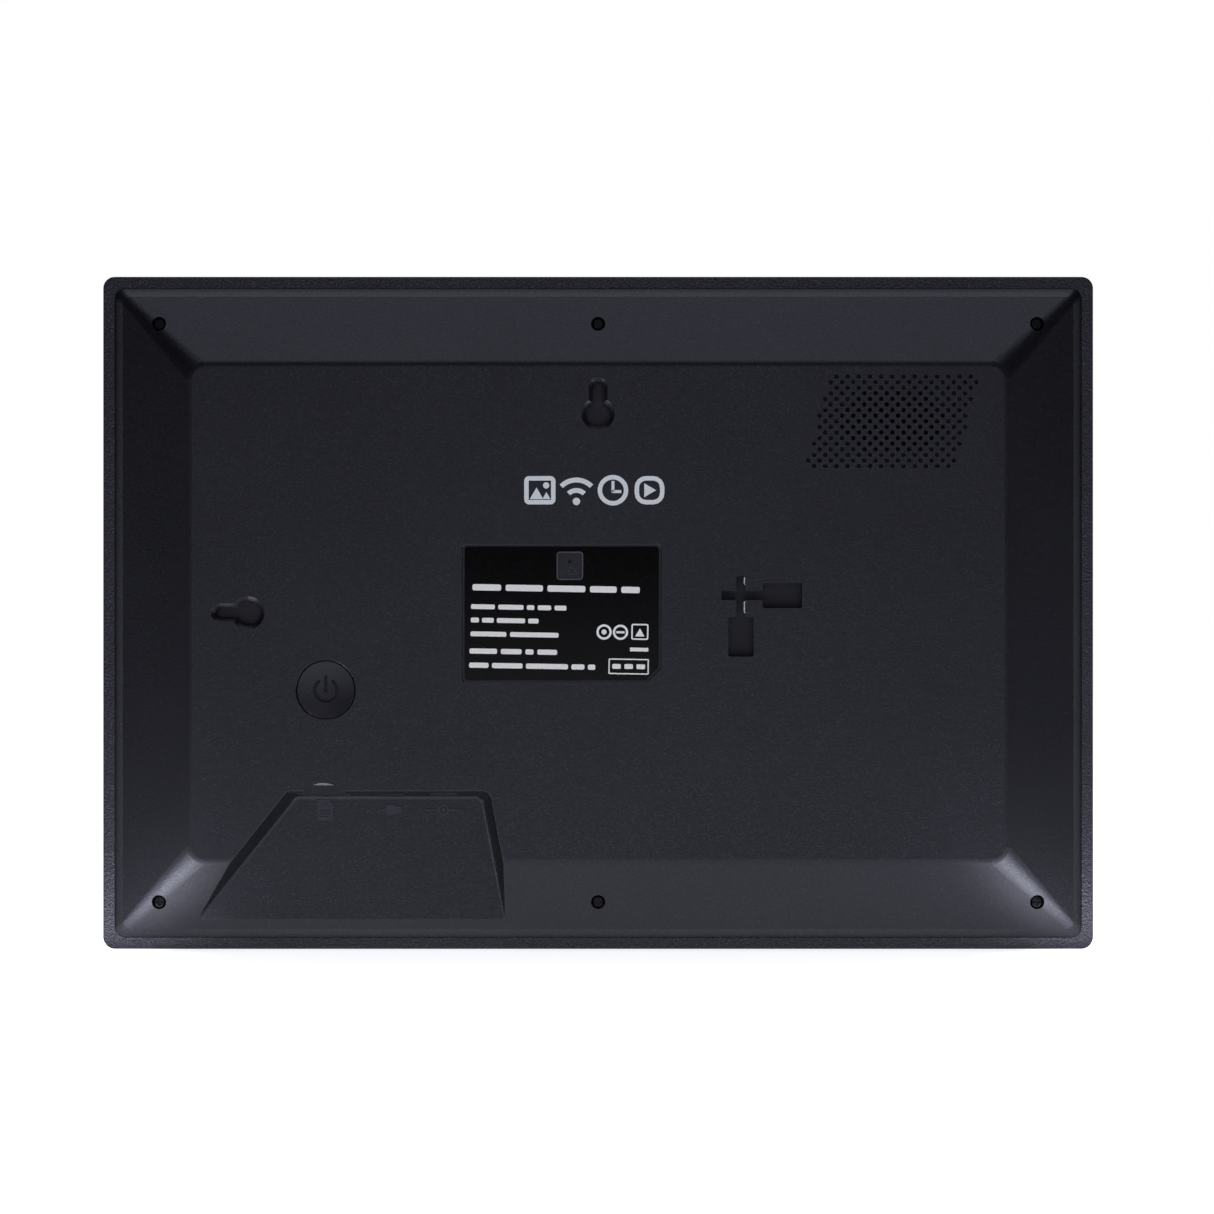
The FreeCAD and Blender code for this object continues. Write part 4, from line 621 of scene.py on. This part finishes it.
# %% Board
laminate, tree, shader, place = start_material("board_laminate_green_lacquer")
cells = add(tree, "ShaderNodeTexVoronoi", {"Vector": place, "Scale": 260.0}, distance="CHEBYCHEV")
track = add(
    tree, "ShaderNodeMapRange",
    {"Value": cells.outputs["Distance"], "From Min": 0.3, "From Max": 0.36},
)
weave = add(tree, "ShaderNodeTexNoise", {"Vector": place, "Scale": 1500.0, "Detail": 2.0})
tone = add(
    tree, "ShaderNodeMixRGB",
    {"Fac": track.outputs["Result"], "Color1": linear("#0D4A2B"), "Color2": linear("#156B3F")},
)
tree.links.new(tone.outputs["Color"], shader.inputs["Base Color"])
gloss = add(tree, "ShaderNodeMapRange", {"Value": weave.outputs["Fac"], "To Min": 0.25, "To Max": 0.4})
tree.links.new(gloss.outputs["Result"], shader.inputs["Roughness"])
bump = add(
    tree, "ShaderNodeBump",
    {"Height": track.outputs["Result"], "Distance": 0.03 * MM, "Strength": 0.6},
)
tree.links.new(bump.outputs["Normal"], shader.inputs["Normal"])
shader.inputs["Coat Weight"].default_value = 0.3
dress(laminate, "main_board")

# %% [markdown]
# The rating label is black polyester film, smoother than the shell round it, so it reflects the
# dark room behind the camera and reads as the blackest field on the back. Its face is not quite
# flat: the adhesive lets it ripple a little.

# %% Label film
film, tree, shader, place = start_material("label_polyester_black_gloss")
ripple = add(tree, "ShaderNodeTexNoise", {"Vector": place, "Scale": 130.0, "Detail": 2.0})
dust = add(tree, "ShaderNodeTexNoise", {"Vector": place, "Scale": 1400.0, "Detail": 2.0})
speck = add(tree, "ShaderNodeMapRange", {"Value": dust.outputs["Fac"], "From Min": 0.66, "From Max": 0.8})
tone = add(
    tree, "ShaderNodeMixRGB",
    {"Fac": speck.outputs["Result"], "Color1": linear("#020203"), "Color2": linear("#101012")},
)
tree.links.new(tone.outputs["Color"], shader.inputs["Base Color"])
gloss = add(tree, "ShaderNodeMapRange", {"Value": dust.outputs["Fac"], "To Min": 0.1, "To Max": 0.2})
tree.links.new(gloss.outputs["Result"], shader.inputs["Roughness"])
bump = add(
    tree, "ShaderNodeBump", {"Height": ripple.outputs["Fac"], "Distance": 0.01 * MM, "Strength": 0.5},
)
tree.links.new(bump.outputs["Normal"], shader.inputs["Normal"])
shader.inputs["Specular IOR Level"].default_value = 0.12
dress(film, "rating_label")

# %% [markdown]
# ## Printed marks
# Two things are printed: a silver mark on the shell and white print on the label. Both are plain
# signs and bars here. An image texture could carry them, but it would need a file and would blur
# in a close view. Ink is a real layer about 0.02 mm thick, so each sign is a small flat mesh that
# is given that thickness.
#
# A flat primitive lies face up. Two turns make it face out of the back with its top upwards, and a
# third one tilts it in that plane. A hoop is a filled shape that is inset by the width of its line,
# with the middle face then deleted.

# %% Flat shapes that face out of the back
INK_THICKNESS = 0.02 * MM


def on_back(u, v, face):
    """Point u mm right and v mm up from the middle, as one looks at the back."""
    return Vector((-u * MM, face, middle_z + v * MM))


def facing_out(clockwise=0.0):
    """Turn for a flat primitive, in the order X, Y, Z."""
    return (math.pi / 2, math.radians(clockwise), math.pi)


def choose(piece, kind, test):
    """Opens a piece for editing with only the vertices or faces chosen that pass the test."""
    clear_selection()
    piece.select_set(True)
    bpy.context.view_layer.objects.active = piece
    bpy.ops.object.mode_set(mode="EDIT")
    bpy.ops.mesh.select_mode(type=kind)
    bpy.ops.mesh.select_all(action="DESELECT")
    bpy.ops.object.mode_set(mode="OBJECT")
    elements = piece.data.vertices if kind == "VERT" else piece.data.polygons
    for element in elements:
        element.select = test(element)
    bpy.ops.object.mode_set(mode="EDIT")


def bar(u, v, wide, tall, face, corner=0.0):
    """Flat rectangle, with its corners rounded if a radius is given."""
    clear_selection()
    bpy.ops.mesh.primitive_plane_add(size=1, location=on_back(u, v, face), rotation=facing_out())
    piece = bpy.context.object
    piece.scale = (wide * MM, tall * MM, 1)
    bpy.ops.object.transform_apply()
    if corner:
        choose(piece, "VERT", lambda vertex: True)
        bpy.ops.mesh.bevel(offset=corner * MM, segments=4, affect="VERTICES")
        bpy.ops.object.mode_set(mode="OBJECT")
    return piece


def disc(u, v, radius, face, sides=32, clockwise=0.0):
    """Flat filled circle, or a triangle when it has three sides."""
    clear_selection()
    bpy.ops.mesh.primitive_circle_add(
        vertices=sides, radius=radius * MM, fill_type="NGON",
        location=on_back(u, v, face), rotation=facing_out(clockwise))
    bpy.ops.object.transform_apply()
    return bpy.context.object


def hoop(piece, line):
    """Leaves only a line of the given width along the edge of a flat shape."""
    choose(piece, "FACE", lambda face: True)
    bpy.ops.mesh.inset(thickness=line * MM, depth=0)
    bpy.ops.mesh.delete(type="FACE")
    bpy.ops.object.mode_set(mode="OBJECT")
    return piece


def upper_part(ring, u, v, spread):
    """Keeps of a ring round the point u, v only what lies above a V that opens upwards."""
    foot = on_back(u, v, 0)
    choose(ring, "VERT", lambda p: p.co.z - foot.z < spread * abs(p.co.x - foot.x))
    bpy.ops.mesh.delete(type="VERT")
    bpy.ops.object.mode_set(mode="OBJECT")
    return ring


def ink(name, pieces, material):
    """Joins flat shapes, turns every face outwards and gives the layer its thickness."""
    clear_selection()
    for piece in pieces:
        piece.select_set(True)
    layer = pieces[0]
    bpy.context.view_layer.objects.active = layer
    bpy.ops.object.join()
    layer.name = name
    choose(layer, "FACE", lambda face: face.normal.y < 0)
    bpy.ops.mesh.flip_normals()
    bpy.ops.object.mode_set(mode="OBJECT")
    solid = layer.modifiers.new("thickness", "SOLIDIFY")
    solid.thickness = INK_THICKNESS
    solid.offset = 1
    bpy.ops.object.modifier_apply(modifier=solid.name)
    layer.data.materials.append(material)
    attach(layer, "frame")
    print(name, "has", len(layer.data.polygons), "faces")
    return layer


# %% [markdown]
# Printing ink is a thin film of pigment. It is matt, it lets a little of the black below through
# where it is thin, and its edge is crisp. The silver tone here is a light grey pigment.


# %% Ink as a material
def printed_ink(name, colour, thin, flake, rough):
    """Opaque ink with uneven cover. flake is the size of its pigment in millimetres."""
    material, tree, shader, place = start_material(name)
    pigment = add(tree, "ShaderNodeTexNoise", {"Vector": place, "Scale": 1 / (flake * MM), "Detail": 2.0})
    cover = add(
        tree, "ShaderNodeMapRange",
        {"Value": pigment.outputs["Fac"], "From Min": 0.3, "From Max": 0.5},
    )
    tone = add(
        tree, "ShaderNodeMixRGB",
        {"Fac": cover.outputs["Result"], "Color1": linear(thin), "Color2": linear(colour)},
    )
    gloss = add(
        tree, "ShaderNodeMapRange",
        {"Value": pigment.outputs["Fac"], "To Min": rough, "To Max": rough * 0.8},
    )
    tree.links.new(tone.outputs["Color"], shader.inputs["Base Color"])
    tree.links.new(gloss.outputs["Result"], shader.inputs["Roughness"])
    return material


silver_ink = printed_ink("pad_print_silver_ink", "#EEF2F8", "#DDE2EA", 0.25, 0.5)
white_ink = printed_ink("label_print_white_ink", "#FFFFFF", "#F2F3F6", 0.2, 0.4)
grey_edge = printed_ink("label_cut_edge_grey", "#4B4C50", "#3B3C40", 0.2, 0.5)

# %% [markdown]
# The mark on the shell is a row of four signs for what such a frame does: pictures, wireless, clock
# and playback. Each one fits in a square of about 8 mm. The wireless arcs are hoops that are cut
# down to the part inside a V.

# %% Silver mark
SIGN_LINE = 1.2
MARK_MIDDLE = 32.9
signs = []
picture, wireless, clock, play = (-15.6, -5.8, 4.0, 13.8)
signs.append(hoop(bar(picture, MARK_MIDDLE, 8.4, 7.6, back, corner=1.3), SIGN_LINE))
signs.append(disc(picture - 0.9, MARK_MIDDLE - 1.35, 2.1, back, sides=3))
signs.append(disc(picture + 1.75, MARK_MIDDLE - 1.75, 1.25, back, sides=3))
signs.append(disc(picture + 1.7, MARK_MIDDLE + 1.3, 0.85, back, sides=24))
arc_foot = MARK_MIDDLE - 3.0
signs.append(disc(wireless, arc_foot, 1.0, back, sides=24))
for radius in (3.6, 6.4):
    ring = hoop(disc(wireless, arc_foot, radius, back, sides=64), SIGN_LINE + 0.1)
    signs.append(upper_part(ring, wireless, arc_foot, 0.98))
signs.append(hoop(disc(clock, MARK_MIDDLE, 4.1, back, sides=48), SIGN_LINE))
signs.append(bar(clock, MARK_MIDDLE + 1.05, 0.8, 2.9, back))
signs.append(bar(clock + 0.95, MARK_MIDDLE - 0.35, 2.6, 0.8, back))
signs.append(hoop(bar(play, MARK_MIDDLE, 8.0, 7.6, back, corner=3.0), SIGN_LINE))
signs.append(disc(play - 0.35, MARK_MIDDLE, 2.15, back, sides=3, clockwise=90))
ink("shell_signs", signs, silver_ink)

# %% [markdown]
# The label's print is set out as any rating label is: a title, three short lines, two more at the
# foot, signs at the right and a box. Every word is a plain bar here. Bars that are as long as words
# give the label its rhythm without any lettering. The whole print sits one degree out of true, as
# print on a stuck-on label often does.

# %% White print
# each line: height above the middle, height of its bars, start, lengths of its words, gap
LINES = [
    (6.5, 1.7, -33.8, (7.7, 10.0, 10.2, 7.2, 5.0), 1.2),
    (1.3, 1.3, -34.1, (6.4, 6.8, 2.0, 3.6, 3.2), 0.9),
    (-2.3, 1.3, -34.1, (2.2, 3.2, 7.6, 2.8), 0.8),
    (-6.0, 1.3, -34.1, (9.6, 13.0), 1.0),
    (-10.6, 1.4, -34.3, (7.4, 5.6, 2.2, 5.3), 1.0),
    (-14.4, 1.4, -34.3, (5.2, 8.2, 11.3, 3.5, 2.0), 0.9),
]
words = []
for row, tall, start, lengths, gap in LINES:
    for length in lengths:
        words.append(bar(start + length / 2, row, length, tall, label_face, corner=0.3 * tall))
        start += length + gap
SIGN_ROW = -4.9
ROUND_SIGNS = (1.7, 6.1)
for sign_u in ROUND_SIGNS:
    words.append(hoop(disc(sign_u, SIGN_ROW, 2.05, label_face), 0.6))
words.append(disc(ROUND_SIGNS[0], SIGN_ROW, 0.7, label_face, sides=20))
words.append(bar(ROUND_SIGNS[1], SIGN_ROW, 2.2, 0.6, label_face))
words.append(hoop(bar(11.3, -4.7, 4.6, 4.3, label_face, corner=0.5), 0.4))
words.append(disc(11.3, -5.2, 1.45, label_face, sides=3))
words.append(bar(11.2, -9.45, 4.9, 1.0, label_face))
BOX_PLACE = (8.45, -14.05)
words.append(hoop(bar(*BOX_PLACE, 10.8, 4.2, label_face, corner=0.25), 0.33))
for shift in (-3.25, 0, 3.25):
    words.append(bar(BOX_PLACE[0] + shift, BOX_PLACE[1], 2.3, 1.3, label_face, corner=0.3))
print_layer = ink("label_print", words, white_ink)
PRINT_TILT = math.radians(1.0)
tilt_centre = middle_of("rating_label") * MM
choose(print_layer, "VERT", lambda vertex: True)
bpy.ops.transform.rotate(value=PRINT_TILT, orient_axis="Y", center_override=tilt_centre)
bpy.ops.object.mode_set(mode="OBJECT")

# %% [markdown]
# Where the label was punched for the reset hole, the cut edge of the film shows as a thin grey line.

# %% Cut edge of the label's window
WINDOW_DROP = 1.25  # of the window's middle below the reset hole
window_v = reset_hole.z - middle_z / MM - WINDOW_DROP
edge = hoop(bar(-reset_hole.x, window_v, 7.1, 7.6, label_face, corner=0.9), 0.3)
ink("label_window_edge", [edge], grey_edge)

# %% [markdown]
# ## Last check
# Every node should have a finish of its own by now, so the script counts those that don't.

# %% Check that every node has a finish
bare = []
for name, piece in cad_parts.items():
    finishes = piece.data.materials
    if not finishes or not finishes[0].use_nodes:
        bare.append(name)
print("nodes without a finish:", bare)
